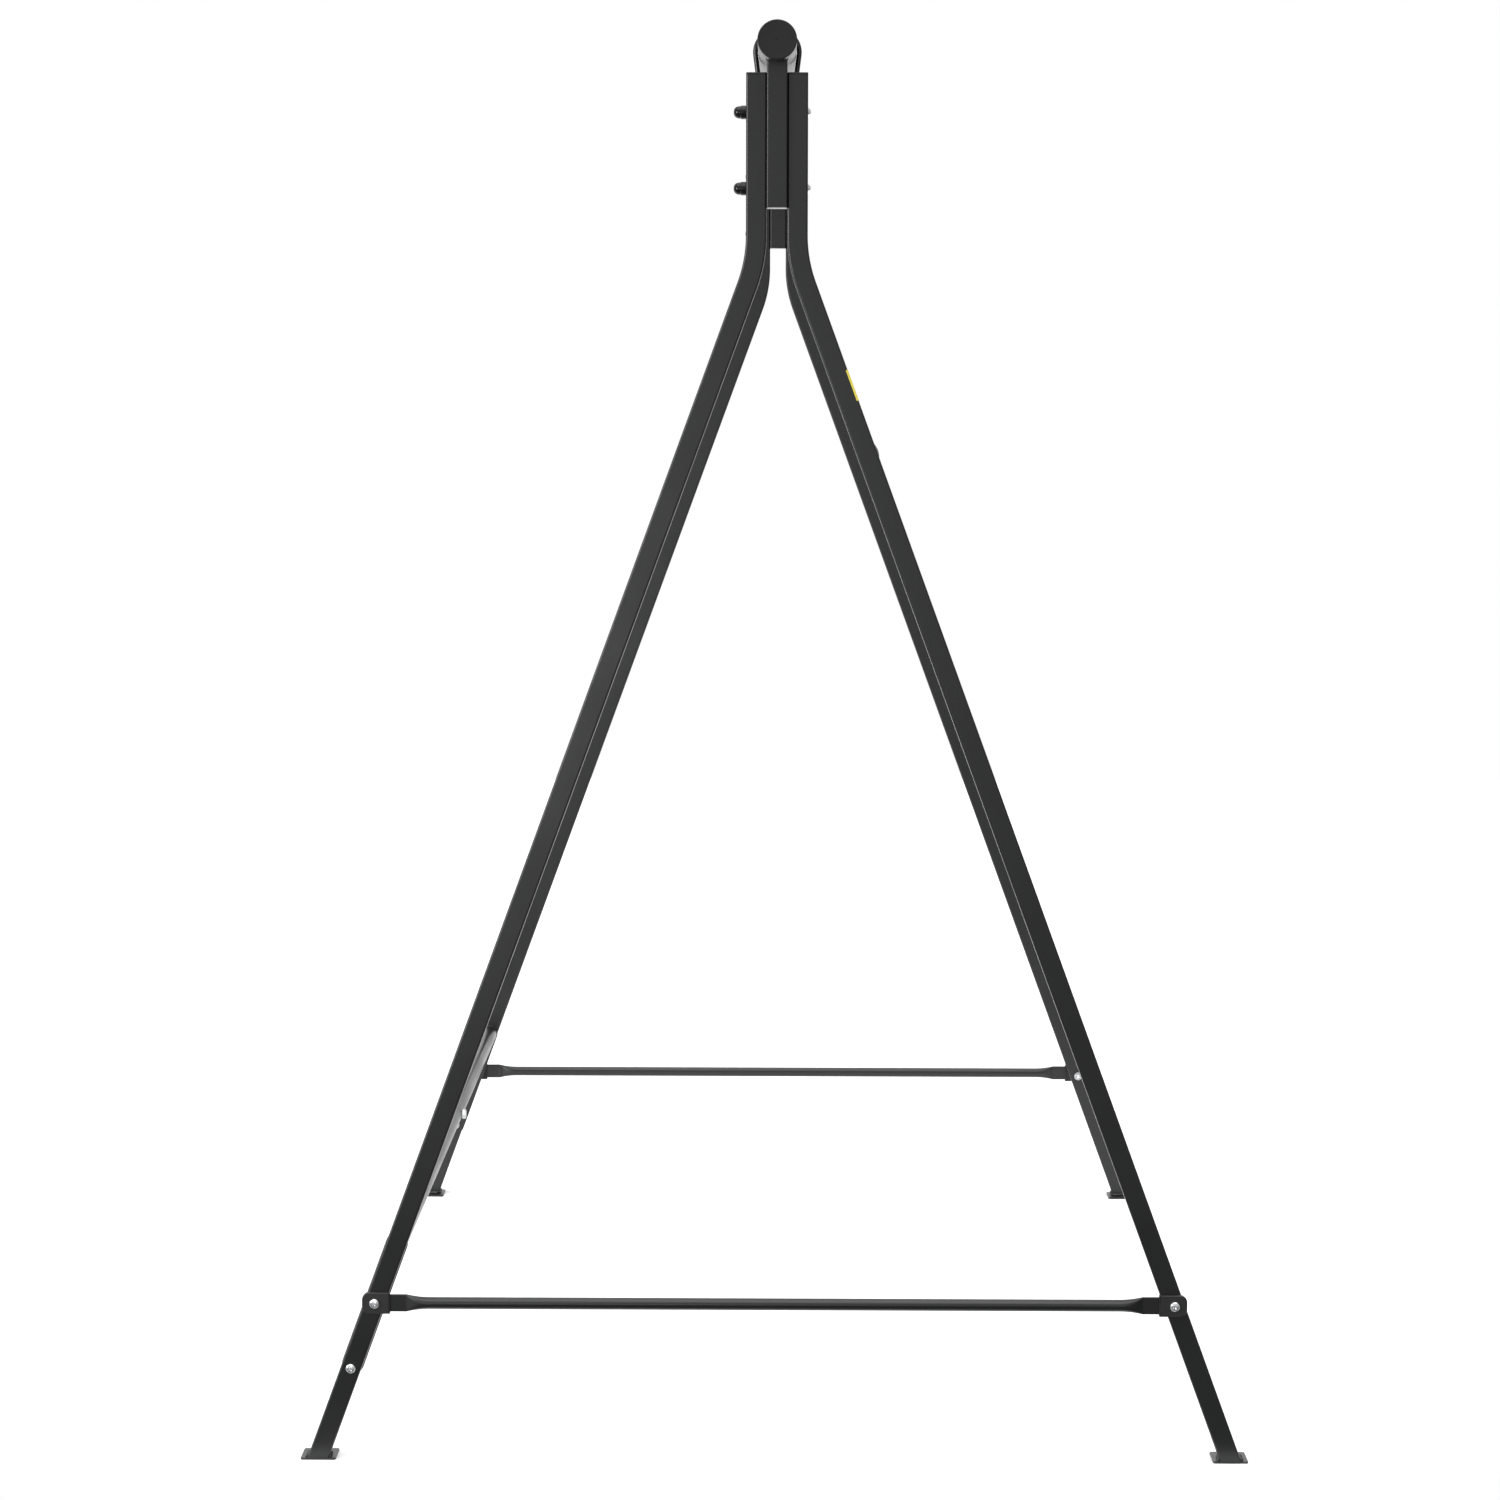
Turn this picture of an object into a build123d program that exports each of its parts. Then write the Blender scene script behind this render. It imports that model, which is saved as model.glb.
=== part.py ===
from build123d import *
import os
from math import asin, atan2, cos, pi, sin, tan

os.makedirs("parts", exist_ok=True)

# Steel A-frame swing stand, in millimetres. Two equal A-frames stand one behind the other,
# joined by a round top beam and by one low bar on the left (-X) side.
# +Z is up, +Y runs along the beam, and the origin is on the ground under the middle of the beam.

# Stand: the drops are measured down from the beam's axis
frame_spacing = 1500.0
foot_half_spread = 576.5
beam_height = 1772.0

# Legs: square tube, upright beside the post, then bent once outwards
leg_top_drop = 36.0
leg_bend_drop = 266.0
leg_bend_radius = 180.0
leg_size = 25.4
leg_wall = 1.5
leg_corner = 2.5
leg_plug_flange = 2.5
leg_plug_depth = 16.0

# Top beam: two end pieces with a post welded underneath, and a middle tube
beam_radius = 24.15
beam_wall = 1.8
beam_overhang = 55.5
beam_end_length = 193.0
beam_spigot_length = 70.0
beam_cap_flange = 3.0
beam_cap_depth = 14.0
post_width = 25.4
post_depth = 40.0
post_wall = 1.5
post_corner = 2.0
post_drop = 201.0
post_plug_flange = 2.0
post_plug_depth = 14.0

# Large bolts: through leg, post and leg with a button head on the right and a covered nut on
# the left, and one with a hexagon head through the low bar's joint
large_bolt_radius = 4.0
large_nut_flats = 13.0
large_nut_height = 6.5
through_bolt_drops = (84.0, 177.0)
through_head_radius = 7.0
through_head_height = 4.4
through_socket = 5.0
hexagon_head_height = 5.5
hexagon_head_crown = 0.8
thread_run_out = 2.0
nut_cap_radius = 8.4
nut_cap_skirt = 7.5
nut_cap_dome_radius = 6.8
nut_cap_dome_height = 7.8
nut_cap_dome_round = 4.8
nut_cap_bore_depth = 10.0

# Crossbars: round tube with its ends pressed flat, on the outer face of each A-frame
crossbar_height = 203.0
crossbar_radius = 7.5
crossbar_wall = 1.2
crossbar_flat_past_bolt = 13.3
crossbar_flat_run = 40.0
crossbar_press_run = 30.6
sleeve_wall = 2.3
sleeve_inner_run = 19.4
sleeve_corner = 9.0

# Small bolts: one in each crossbar end, and one lower down in each left leg
small_bolt_radius = 3.0
small_head_radius = 6.0
small_head_height = 3.9
small_head_crown = 1.2
small_recess_depth = 2.2
small_recess_width = 1.5
small_recess_length = 6.5
small_washer_radius = 6.4
small_washer_height = 1.6
small_nut_flats = 10.0
small_nut_height = 5.0
lower_bolt_height = 118.0

# Low bar: two tubes, one reduced to slide into the other, on plates behind the left legs
low_bar_height = 272.0
low_bar_radius = 12.7
low_bar_wall = 1.5
low_bar_seam = 62.0
low_bar_spigot_length = 110.0
low_bar_bolt_inset = 11.0
low_bar_plate_width = 28.0
low_bar_plate_thickness = 3.0

# Feet: flat plates flush with the outer face of the leg, with a stake hole behind it
foot_width = 44.5
foot_length = 44.0
foot_thickness = 2.5
foot_corner = 3.0
stake_hole_radius = 4.25

# Hangers: a closed loop of bent rod round each end piece of the beam, inside the A-frame
hanger_inset = 129.0
hanger_rod_radius = 3.2
hanger_drop = 118.0
hanger_eye_radius = 9.6

# Trim on the front right leg
label_height = 1350.0
label_length = 40.0
label_thickness = 0.3
label_wrap = 2.4
side_plug_height = 1269.0
side_plug_radius = 9.5
side_plug_crown = 1.9
side_plug_stem_radius = 3.9
side_plug_stem_length = 4.0

# Screws that hold each beam joint together, on top of the beam
joint_screw_radius = 2.5
joint_screw_head_radius = 5.5
joint_screw_head_height = 3.2
joint_screw_length = 8.0

# Clearances
bolt_clearance = 0.25
thread_clearance = 0.05
slip_clearance = 0.2
plug_clearance = 0.15
hanger_clearance = 0.3
label_clearance = 0.05

# Places that follow from the sizes above
frame_plane = frame_spacing / 2
leg_top_height = beam_height - leg_top_drop
bend_height = beam_height - leg_bend_drop
post_bottom = beam_height - post_drop
through_bolt_heights = [beam_height - drop for drop in through_bolt_drops]
beam_half_length = frame_plane + beam_overhang
hanger_plane = frame_plane - hanger_inset
leg_x = (post_width + leg_size) / 2
lean = atan2(foot_half_spread - leg_x, bend_height)
clamp_half_width = leg_x + leg_size / 2
outer_face = frame_plane + leg_size / 2
inner_face = frame_plane - leg_size / 2
foot_middle = outer_face - foot_length / 2
stake_hole_plane = (inner_face + outer_face - foot_length) / 2
beam_seam = beam_half_length - beam_end_length
beam_bore = beam_radius - beam_wall
beam_spigot_radius = beam_bore - slip_clearance
joint_screw_plane = beam_seam - beam_spigot_length / 2
sleeve_gap = plug_clearance
crossbar_flat_thickness = 2 * crossbar_wall
crossbar_flat_width = pi * (crossbar_radius - crossbar_wall) + 2 * crossbar_wall
sleeve_thickness = crossbar_flat_thickness + 2 * (sleeve_gap + sleeve_wall)
sleeve_height = crossbar_flat_width + 2 * (sleeve_gap + sleeve_wall)
sleeve_outer_run = crossbar_flat_past_bolt + sleeve_gap + sleeve_wall
crossbar_plane = outer_face + sleeve_thickness / 2
low_bar_inner_face = inner_face - low_bar_plate_thickness
low_bar_bolt_plane = low_bar_seam + low_bar_bolt_inset


def leg_centre(height):
    """X of a leg's centreline at a height below its bend."""
    return leg_x + (bend_height - height) * tan(lean)


crossbar_bolt_x = leg_centre(crossbar_height)
lower_bolt_x = leg_centre(lower_bolt_height)
low_bar_x = leg_centre(low_bar_height)
foot_x = leg_centre(foot_thickness)

SIDES = {"left": -1, "right": 1}
ENDS = {"front": -1, "rear": 1}


def save(shape, node, count=1):
    """Write one node, with the number of separate solids that it is made of."""
    solids = shape.solids()
    assert len(solids) == count, f"{node}: {len(solids)} solids"
    export_step(Compound(label=node, children=solids), f"parts/{node}.step")


def rod_x(radius, start, stop, y, z):
    """A round bar along X, from start to stop."""
    middle = (start + stop) / 2
    return Pos(middle, y, z) * Rot(0, 90, 0) * Cylinder(radius, abs(stop - start))


def rod_y(radius, start, stop, x, z):
    """A round bar along Y, from start to stop."""
    middle = (start + stop) / 2
    return Pos(x, middle, z) * Rot(90, 0, 0) * Cylinder(radius, abs(stop - start))


def rod_z(radius, start, stop, x, y):
    """A round bar along Z, from start to stop."""
    middle = (start + stop) / 2
    return Pos(x, y, middle) * Cylinder(radius, abs(stop - start))


def dome(radius, crown):
    """A round dome standing on z = 0."""
    sphere_radius = (radius**2 + crown**2) / (2 * crown)
    half_angle = asin(radius / sphere_radius) / 2
    middle = (sphere_radius * sin(half_angle), crown - sphere_radius * (1 - cos(half_angle)))
    curve = ThreePointArc((radius, 0), middle, (0, crown))
    outline = Line((0, 0), (radius, 0)) + curve + Line((0, crown), (0, 0))
    return revolve(Plane.XZ * make_face(outline), Axis.Z)


def square_section(size, corner, wall):
    """Section of a square tube with rounded corners."""
    inner = size - 2 * wall
    return RectangleRounded(size, size, corner) - RectangleRounded(inner, inner, corner - wall)


def leg_place(side, height):
    """Frame on a leg's centreline: its X points out of the outer face, its Z up the leg."""
    outward = (side * cos(lean), 0, sin(lean))
    upward = (-side * sin(lean), 0, cos(lean))
    return Plane((side * leg_centre(height), 0, height), x_dir=outward, z_dir=upward)


def leg(side, end):
    """One leg: a bent square tube, drilled for its bolts, cut level on the foot plate."""
    below_ground = leg_size
    foot = leg_centre(-below_ground)
    path = FilletPolyline(
        (side * leg_x, 0, leg_top_height - leg_plug_flange),
        (side * leg_x, 0, bend_height),
        (side * foot, 0, -below_ground),
        radius=leg_bend_radius,
    )
    start = Plane(path @ 0, x_dir=(0, 1, 0), z_dir=path % 0)
    tube = sweep(start * square_section(leg_size, leg_corner, leg_wall), path=path)
    ground = Box(4 * leg_size, 4 * leg_size, 4 * leg_size, align=(Align.CENTER, Align.CENTER, Align.MAX))
    tube -= Pos(side * foot_x, 0, foot_thickness) * ground
    reach = 2 * clamp_half_width
    for height in through_bolt_heights:
        tube -= rod_x(large_bolt_radius + bolt_clearance, -reach, reach, 0, height)
    small_hole = small_bolt_radius + bolt_clearance
    tube -= rod_y(small_hole, -leg_size, leg_size, side * crossbar_bolt_x, crossbar_height)
    if side < 0:
        tube -= rod_y(small_hole, -leg_size, leg_size, side * lower_bolt_x, lower_bolt_height)
    if side > 0 and end < 0:
        hole = rod_x(side_plug_stem_radius + bolt_clearance, 0, leg_size, 0, 0)
        tube -= leg_place(side, side_plug_height) * hole
    return Pos(0, end * frame_plane, 0) * tube


def leg_top_plug(side, end):
    """Plastic plug in a leg's open top."""
    inner = leg_size - 2 * leg_wall - 2 * plug_clearance
    flange = RectangleRounded(leg_size, leg_size, leg_corner)
    cap = extrude(flange, amount=leg_plug_flange)
    cap = fillet(cap.faces().sort_by(Axis.Z)[-1].edges(), leg_plug_flange / 3)
    body = extrude(RectangleRounded(inner, inner, leg_corner - leg_wall), amount=-leg_plug_depth)
    hollow = inner - 2 * leg_wall
    body -= Pos(0, 0, -leg_wall) * extrude(Rectangle(hollow, hollow), amount=-leg_plug_depth)
    return Pos(side * leg_x, end * frame_plane, leg_top_height - leg_plug_flange) * (cap + body)


def foot_plate(side, end):
    """Flat foot with rounded corners and one stake hole behind the leg."""
    plate = extrude(RectangleRounded(foot_width, foot_length, foot_corner), amount=foot_thickness)
    plate = Pos(side * foot_x, end * foot_middle, 0) * plate
    hole_y = end * stake_hole_plane
    return plate - rod_z(stake_hole_radius, -foot_thickness, 2 * foot_thickness, side * foot_x, hole_y)


def beam_end(end):
    """End piece of the beam: a tube with a reduced end for the joint and the post welded under it."""
    outer = rod_y(beam_radius, beam_seam, beam_half_length - beam_cap_flange, 0, beam_height)
    spigot = rod_y(beam_spigot_radius, beam_seam - beam_spigot_length, beam_seam, 0, beam_height)
    low = post_bottom + post_plug_flange
    lift = (0, frame_plane, low)
    post_inner = (post_width - 2 * post_wall, post_depth - 2 * post_wall)
    section = RectangleRounded(post_width, post_depth, post_corner)
    section -= RectangleRounded(*post_inner, post_corner - post_wall)
    post = Pos(*lift) * extrude(section, amount=beam_height - low)
    wide_bore = rod_y(beam_bore, beam_seam + beam_wall, beam_half_length, 0, beam_height)
    narrow_bore = rod_y(beam_spigot_radius - beam_wall, 0, beam_half_length, 0, beam_height)
    piece = outer + spigot + post - wide_bore - narrow_bore
    for height in through_bolt_heights:
        piece -= rod_x(large_bolt_radius + bolt_clearance, -post_width, post_width, frame_plane, height)
    hole_radius = joint_screw_radius + thread_clearance
    piece -= rod_z(hole_radius, beam_height, beam_height + beam_radius, 0, joint_screw_plane)
    return piece if end > 0 else mirror(piece, about=Plane.XZ)


def beam_middle():
    """Plain middle tube of the beam, which both end pieces slide into."""
    tube = rod_y(beam_radius, -beam_seam, beam_seam, 0, beam_height)
    tube -= rod_y(beam_bore, -beam_seam, beam_seam, 0, beam_height)
    for end in ENDS.values():
        hole_radius = joint_screw_radius + bolt_clearance
        tube -= rod_z(hole_radius, beam_height, beam_height + 2 * beam_radius, 0, end * joint_screw_plane)
    return tube


def beam_cap(end):
    """Plastic cap in the beam's open end."""
    low = beam_half_length - beam_cap_flange
    cap = rod_y(beam_radius, low, beam_half_length, 0, beam_height)
    cap = fillet(cap.edges().group_by(Axis.Y)[-1], beam_cap_flange / 2)
    cap += rod_y(beam_bore - plug_clearance, low - beam_cap_depth, low, 0, beam_height)
    cap -= rod_y(beam_bore - 2 * beam_wall, low - 2 * beam_cap_depth, low - beam_wall, 0, beam_height)
    return cap if end > 0 else mirror(cap, about=Plane.XZ)


def post_plug(end):
    """Plastic plug in the post's open lower end."""
    inner_width = post_width - 2 * post_wall - 2 * plug_clearance
    inner_depth = post_depth - 2 * post_wall - 2 * plug_clearance
    low_face = post_bottom + post_plug_flange
    flange = extrude(RectangleRounded(post_width, post_depth, post_corner), amount=-post_plug_flange)
    flange = fillet(flange.faces().sort_by(Axis.Z)[0].edges(), post_plug_flange / 3)
    body = extrude(Rectangle(inner_width, inner_depth), amount=post_plug_depth)
    hollow = Rectangle(inner_width - 2 * post_wall, inner_depth - 2 * post_wall)
    body -= Pos(0, 0, post_wall) * extrude(hollow, amount=post_plug_depth)
    return Pos(0, end * frame_plane, low_face) * (flange + body)


def joint_screw(end):
    """Self-tapping screw that pins a beam joint, with a low round head."""
    top = beam_height + beam_radius
    head = rod_z(joint_screw_head_radius, top, top + joint_screw_head_height, 0, 0)
    head = fillet(head.edges().group_by(Axis.Z)[-1], joint_screw_head_height / 2)
    shank = rod_z(joint_screw_radius, top - joint_screw_length, top, 0, 0)
    return Pos(0, end * joint_screw_plane, 0) * (head + shank)


def through_bolt(end, height):
    """Button-head bolt with a hexagon socket, along X."""
    socket = extrude(RegularPolygon(through_socket / (2 * cos(pi / 6)), 6), amount=through_head_height)
    head = dome(through_head_radius, through_head_height) - Pos(0, 0, through_head_height / 2) * socket
    grip = 2 * clamp_half_width + large_nut_height + thread_run_out
    bolt = head + rod_z(large_bolt_radius, -grip, 0, 0, 0)
    return Pos(clamp_half_width, end * frame_plane, height) * Rot(0, 90, 0) * bolt


def hexagon(flats, height, bore):
    """A hexagon nut standing on its lower face at z = 0."""
    nut = extrude(RegularPolygon(flats / (2 * cos(pi / 6)), 6), amount=height)
    return nut - rod_z(bore, -height, 2 * height, 0, 0)


def through_nut(end, height):
    """Nut on a through bolt's left end."""
    nut = hexagon(large_nut_flats, large_nut_height, large_bolt_radius + thread_clearance)
    return Pos(-clamp_half_width, end * frame_plane, height) * Rot(0, -90, 0) * nut


def nut_cap(end, height):
    """Domed plastic cover pressed over a through bolt's nut."""
    full_height = nut_cap_skirt + nut_cap_dome_height
    skirt = rod_z(nut_cap_radius, 0, nut_cap_skirt, 0, 0)
    skirt = chamfer(skirt.edges().group_by(Axis.Z)[-1], nut_cap_radius - nut_cap_dome_radius)
    dome = rod_z(nut_cap_dome_radius, 0, full_height, 0, 0)
    dome = fillet(dome.edges().group_by(Axis.Z)[-1], nut_cap_dome_round)
    cover = skirt + dome
    pocket_flats = large_nut_flats + 2 * thread_clearance
    pocket = RegularPolygon(pocket_flats / (2 * cos(pi / 6)), 6)
    cover -= extrude(pocket, amount=large_nut_height + thread_clearance)
    cover -= rod_z(large_bolt_radius + bolt_clearance, 0, nut_cap_bore_depth, 0, 0)
    return Pos(-clamp_half_width, end * frame_plane, height) * Rot(0, -90, 0) * cover


def round_section(radius):
    """Circle in four arcs, so that it lofts cleanly to the pressed section."""
    diagonal = radius * sin(pi / 4)
    arcs = (
        ThreePointArc((-diagonal, diagonal), (0, radius), (diagonal, diagonal))
        + ThreePointArc((diagonal, diagonal), (radius, 0), (diagonal, -diagonal))
        + ThreePointArc((diagonal, -diagonal), (0, -radius), (-diagonal, -diagonal))
        + ThreePointArc((-diagonal, -diagonal), (-radius, 0), (-diagonal, diagonal))
    )
    return make_face(arcs)


def pressed_section(width, thickness):
    """Tube pressed flat: straight sides and round edges."""
    edge = thickness / 2
    straight = width / 2 - edge
    outline = (
        ThreePointArc((-edge, straight), (0, width / 2), (edge, straight))
        + Line((edge, straight), (edge, -straight))
        + ThreePointArc((edge, -straight), (0, -width / 2), (-edge, -straight))
        + Line((-edge, -straight), (-edge, straight))
    )
    return make_face(outline)


def crossbar(end):
    """Crossbar with both ends pressed flat and drilled."""
    flat_end = crossbar_bolt_x + crossbar_flat_past_bolt
    flat_start = crossbar_bolt_x - crossbar_flat_run
    round_end = flat_start - crossbar_press_run
    bar = rod_x(crossbar_radius, -round_end, round_end, 0, 0)
    for side in SIDES.values():
        at_round = Plane((side * round_end, 0, 0), x_dir=(0, 1, 0), z_dir=(1, 0, 0))
        at_flat = Plane((side * flat_start, 0, 0), x_dir=(0, 1, 0), z_dir=(1, 0, 0))
        pressed = pressed_section(crossbar_flat_width, crossbar_flat_thickness)
        bar += loft([at_round * round_section(crossbar_radius), at_flat * pressed])
        bar += extrude(at_flat * pressed, amount=side * (flat_end - flat_start))
    bar -= rod_x(crossbar_radius - crossbar_wall, -round_end, round_end, 0, 0)
    for side in SIDES.values():
        hole = small_bolt_radius + bolt_clearance
        bar -= rod_y(hole, -crossbar_radius, crossbar_radius, side * crossbar_bolt_x, 0)
    return Pos(0, end * crossbar_plane, crossbar_height) * bar


def crossbar_sleeve(side, end):
    """Plastic sleeve over a crossbar's flat end, rounded at its closed end."""
    length = sleeve_outer_run + sleeve_inner_run
    middle = (sleeve_outer_run - sleeve_inner_run) / 2
    outline = Rectangle(length, sleeve_height)
    outline = fillet(outline.vertices().group_by(Axis.X)[-1], sleeve_corner)
    shell = extrude(Plane.XZ * outline, amount=sleeve_thickness / 2, both=True)
    shell = fillet(shell.faces().filter_by(Axis.Y).edges().filter_by(Axis.X), sleeve_wall / 3)
    slot_length = crossbar_flat_past_bolt + sleeve_gap
    slot_width = crossbar_flat_width + 2 * sleeve_gap
    slot_depth = crossbar_flat_thickness + 2 * sleeve_gap
    slot_run = slot_length + 2 * sleeve_inner_run
    slot = Pos(slot_length - slot_run / 2, 0, 0) * Box(slot_run, slot_depth, slot_width)
    shell = Pos(middle, 0, 0) * shell - slot
    shell -= rod_y(small_bolt_radius + bolt_clearance, -sleeve_thickness, sleeve_thickness, 0, 0)
    if side < 0:
        shell = mirror(shell, about=Plane.YZ)
    return Pos(side * crossbar_bolt_x, end * crossbar_plane, crossbar_height) * shell


def pan_bolt(grip):
    """Pan-head bolt standing on its head: the head is below z = 0, the shank above it."""
    head = rod_z(small_head_radius, -small_head_height, 0, 0, 0)
    head = fillet(head.edges().group_by(Axis.Z)[0], small_head_crown)
    recess_place = Pos(0, 0, -small_head_height)
    for turn in (0, 90):
        slot = Box(small_recess_length, small_recess_width, 2 * small_recess_depth)
        head -= recess_place * Rot(0, 0, turn) * slot
    return head + rod_z(small_bolt_radius, 0, grip, 0, 0)


def small_grip(side):
    """Thickness between a small bolt's leg face and its nut, with the plate on the left legs."""
    plate = low_bar_plate_thickness if side < 0 else 0
    return leg_size + plate


def small_fixing(side, end, x, z, head_face):
    """Bolt, washer and nut along Y, with the head on head_face and the nut on the inner side."""
    nut_face = outer_face - small_grip(side)
    grip = head_face - nut_face + small_washer_height + small_nut_height + thread_run_out
    turn = Rot(90, 0, 0) if end > 0 else Rot(-90, 0, 0)
    bolt = Pos(side * x, end * head_face, z) * turn * pan_bolt(grip)
    washer = rod_z(small_washer_radius, 0, small_washer_height, 0, 0)
    washer -= rod_z(small_bolt_radius + bolt_clearance, -small_washer_height, 2 * small_washer_height, 0, 0)
    nut = hexagon(small_nut_flats, small_nut_height, small_bolt_radius + thread_clearance)
    washer = Pos(side * x, end * nut_face, z) * turn * washer
    nut = Pos(side * x, end * (nut_face - small_washer_height), z) * turn * nut
    return bolt, washer, nut


def low_bar_plate(end):
    """Plate welded to the low bar's end, bolted behind a left leg with two bolts."""
    width = low_bar_plate_width
    top = Vector(-low_bar_x, 0, low_bar_height)
    bottom = Vector(-lower_bolt_x, 0, lower_bolt_height)
    length = (top - bottom).length + width
    place = Plane((top + bottom) / 2, x_dir=(sin(lean), 0, cos(lean)), z_dir=(0, 1, 0))
    plate = extrude(place * SlotOverall(length, width), amount=low_bar_plate_thickness / 2, both=True)
    for x, z in ((crossbar_bolt_x, crossbar_height), (lower_bolt_x, lower_bolt_height)):
        plate -= rod_y(small_bolt_radius + bolt_clearance, -leg_size, leg_size, -x, z)
    return Pos(0, end * (inner_face - low_bar_plate_thickness / 2), 0) * plate


def low_bar_tube(radius, start, stop):
    """A round bar along the low bar's axis."""
    return rod_y(radius, start, stop, -low_bar_x, low_bar_height)


def low_bar_bolt_hole():
    """Hole along X through both tubes at the low bar's joint."""
    reach = 2 * low_bar_radius
    hole = large_bolt_radius + bolt_clearance
    return rod_x(hole, -low_bar_x - reach, -low_bar_x + reach, low_bar_bolt_plane, low_bar_height)


def low_bar_front():
    """Front tube of the low bar, reduced at its rear end to slide into the rear tube."""
    bore = low_bar_radius - low_bar_wall
    spigot = bore - slip_clearance
    spigot_end = low_bar_seam + low_bar_spigot_length
    tube = low_bar_tube(low_bar_radius, -low_bar_inner_face, low_bar_seam)
    tube += low_bar_tube(spigot, low_bar_seam, spigot_end)
    tube -= low_bar_tube(bore, -low_bar_inner_face, low_bar_seam - low_bar_wall)
    tube -= low_bar_tube(spigot - low_bar_wall, low_bar_seam - low_bar_wall, spigot_end)
    return tube - low_bar_bolt_hole()


def low_bar_rear():
    """Rear tube of the low bar, which the front tube slides into."""
    tube = low_bar_tube(low_bar_radius, low_bar_seam, low_bar_inner_face)
    tube -= low_bar_tube(low_bar_radius - low_bar_wall, low_bar_seam, low_bar_inner_face)
    return tube - low_bar_bolt_hole()


def low_bar_joint_fixing():
    """Bolt along X through the low bar's joint, its hexagon head on the inner (+X) side, and its nut."""
    head = extrude(RegularPolygon(large_nut_flats / (2 * cos(pi / 6)), 6), amount=hexagon_head_height)
    head = chamfer(head.faces().sort_by(Axis.Z)[-1].edges(), hexagon_head_crown, hexagon_head_crown / 2)
    grip = 2 * low_bar_radius + large_nut_height + thread_run_out
    bolt = Rot(0, 90, 0) * (head + rod_z(large_bolt_radius, -grip, 0, 0, 0))
    bolt = Pos(-low_bar_x + low_bar_radius, low_bar_bolt_plane, low_bar_height) * bolt
    nut = hexagon(large_nut_flats, large_nut_height, large_bolt_radius + thread_clearance)
    nut = Pos(-low_bar_x - low_bar_radius, low_bar_bolt_plane, low_bar_height) * Rot(0, -90, 0) * nut
    return bolt, nut


def hanger(end):
    """Pear-shaped loop of round rod: a wide arc on the beam, two sides, and a small eye below."""
    wide = beam_radius + hanger_clearance + hanger_rod_radius
    small = hanger_eye_radius + hanger_rod_radius
    taper = asin((wide - small) / hanger_drop)
    side_x = cos(taper)
    side_z = -sin(taper)
    top = beam_height
    low = beam_height - hanger_drop
    upper_right = (wide * side_x, 0, top + wide * side_z)
    upper_left = (-wide * side_x, 0, top + wide * side_z)
    lower_right = (small * side_x, 0, low + small * side_z)
    lower_left = (-small * side_x, 0, low + small * side_z)
    crown = ThreePointArc(upper_left, (0, 0, top + wide), upper_right)
    eye = ThreePointArc(lower_right, (0, 0, low - small), lower_left)
    path = Wire((crown + Line(upper_right, lower_right) + eye + Line(lower_left, upper_left)).edges())
    start = Plane(path @ 0, z_dir=path % 0)
    loop = sweep(start * Circle(hanger_rod_radius), path=path)
    return Pos(0, end * hanger_plane, 0) * loop


def leg_label():
    """Plain label stuck on the front right leg's outer face and round its front edge."""
    inner = leg_size + 2 * label_clearance
    outer = inner + 2 * label_thickness
    section = RectangleRounded(outer, outer, leg_corner + label_clearance + label_thickness)
    section -= RectangleRounded(inner, inner, leg_corner + label_clearance)
    away = 2 * outer
    section -= Pos(leg_size / 2 - label_wrap, 0) * Rectangle(away, away, align=(Align.MAX, Align.CENTER))
    section -= Pos(0, leg_size / 2 - leg_corner) * Rectangle(away, away, align=(Align.CENTER, Align.MIN))
    band = extrude(section, amount=label_length / 2, both=True)
    return Pos(0, -frame_plane, 0) * leg_place(1, label_height) * band


def leg_side_plug():
    """Low domed plug in the front right leg's outer face."""
    plug = dome(side_plug_radius, side_plug_crown)
    plug += rod_z(side_plug_stem_radius, -side_plug_stem_length, 0, 0, 0)
    plug = Pos(leg_size / 2, 0, 0) * Rot(0, 90, 0) * plug
    return Pos(0, -frame_plane, 0) * leg_place(1, side_plug_height) * plug


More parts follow.
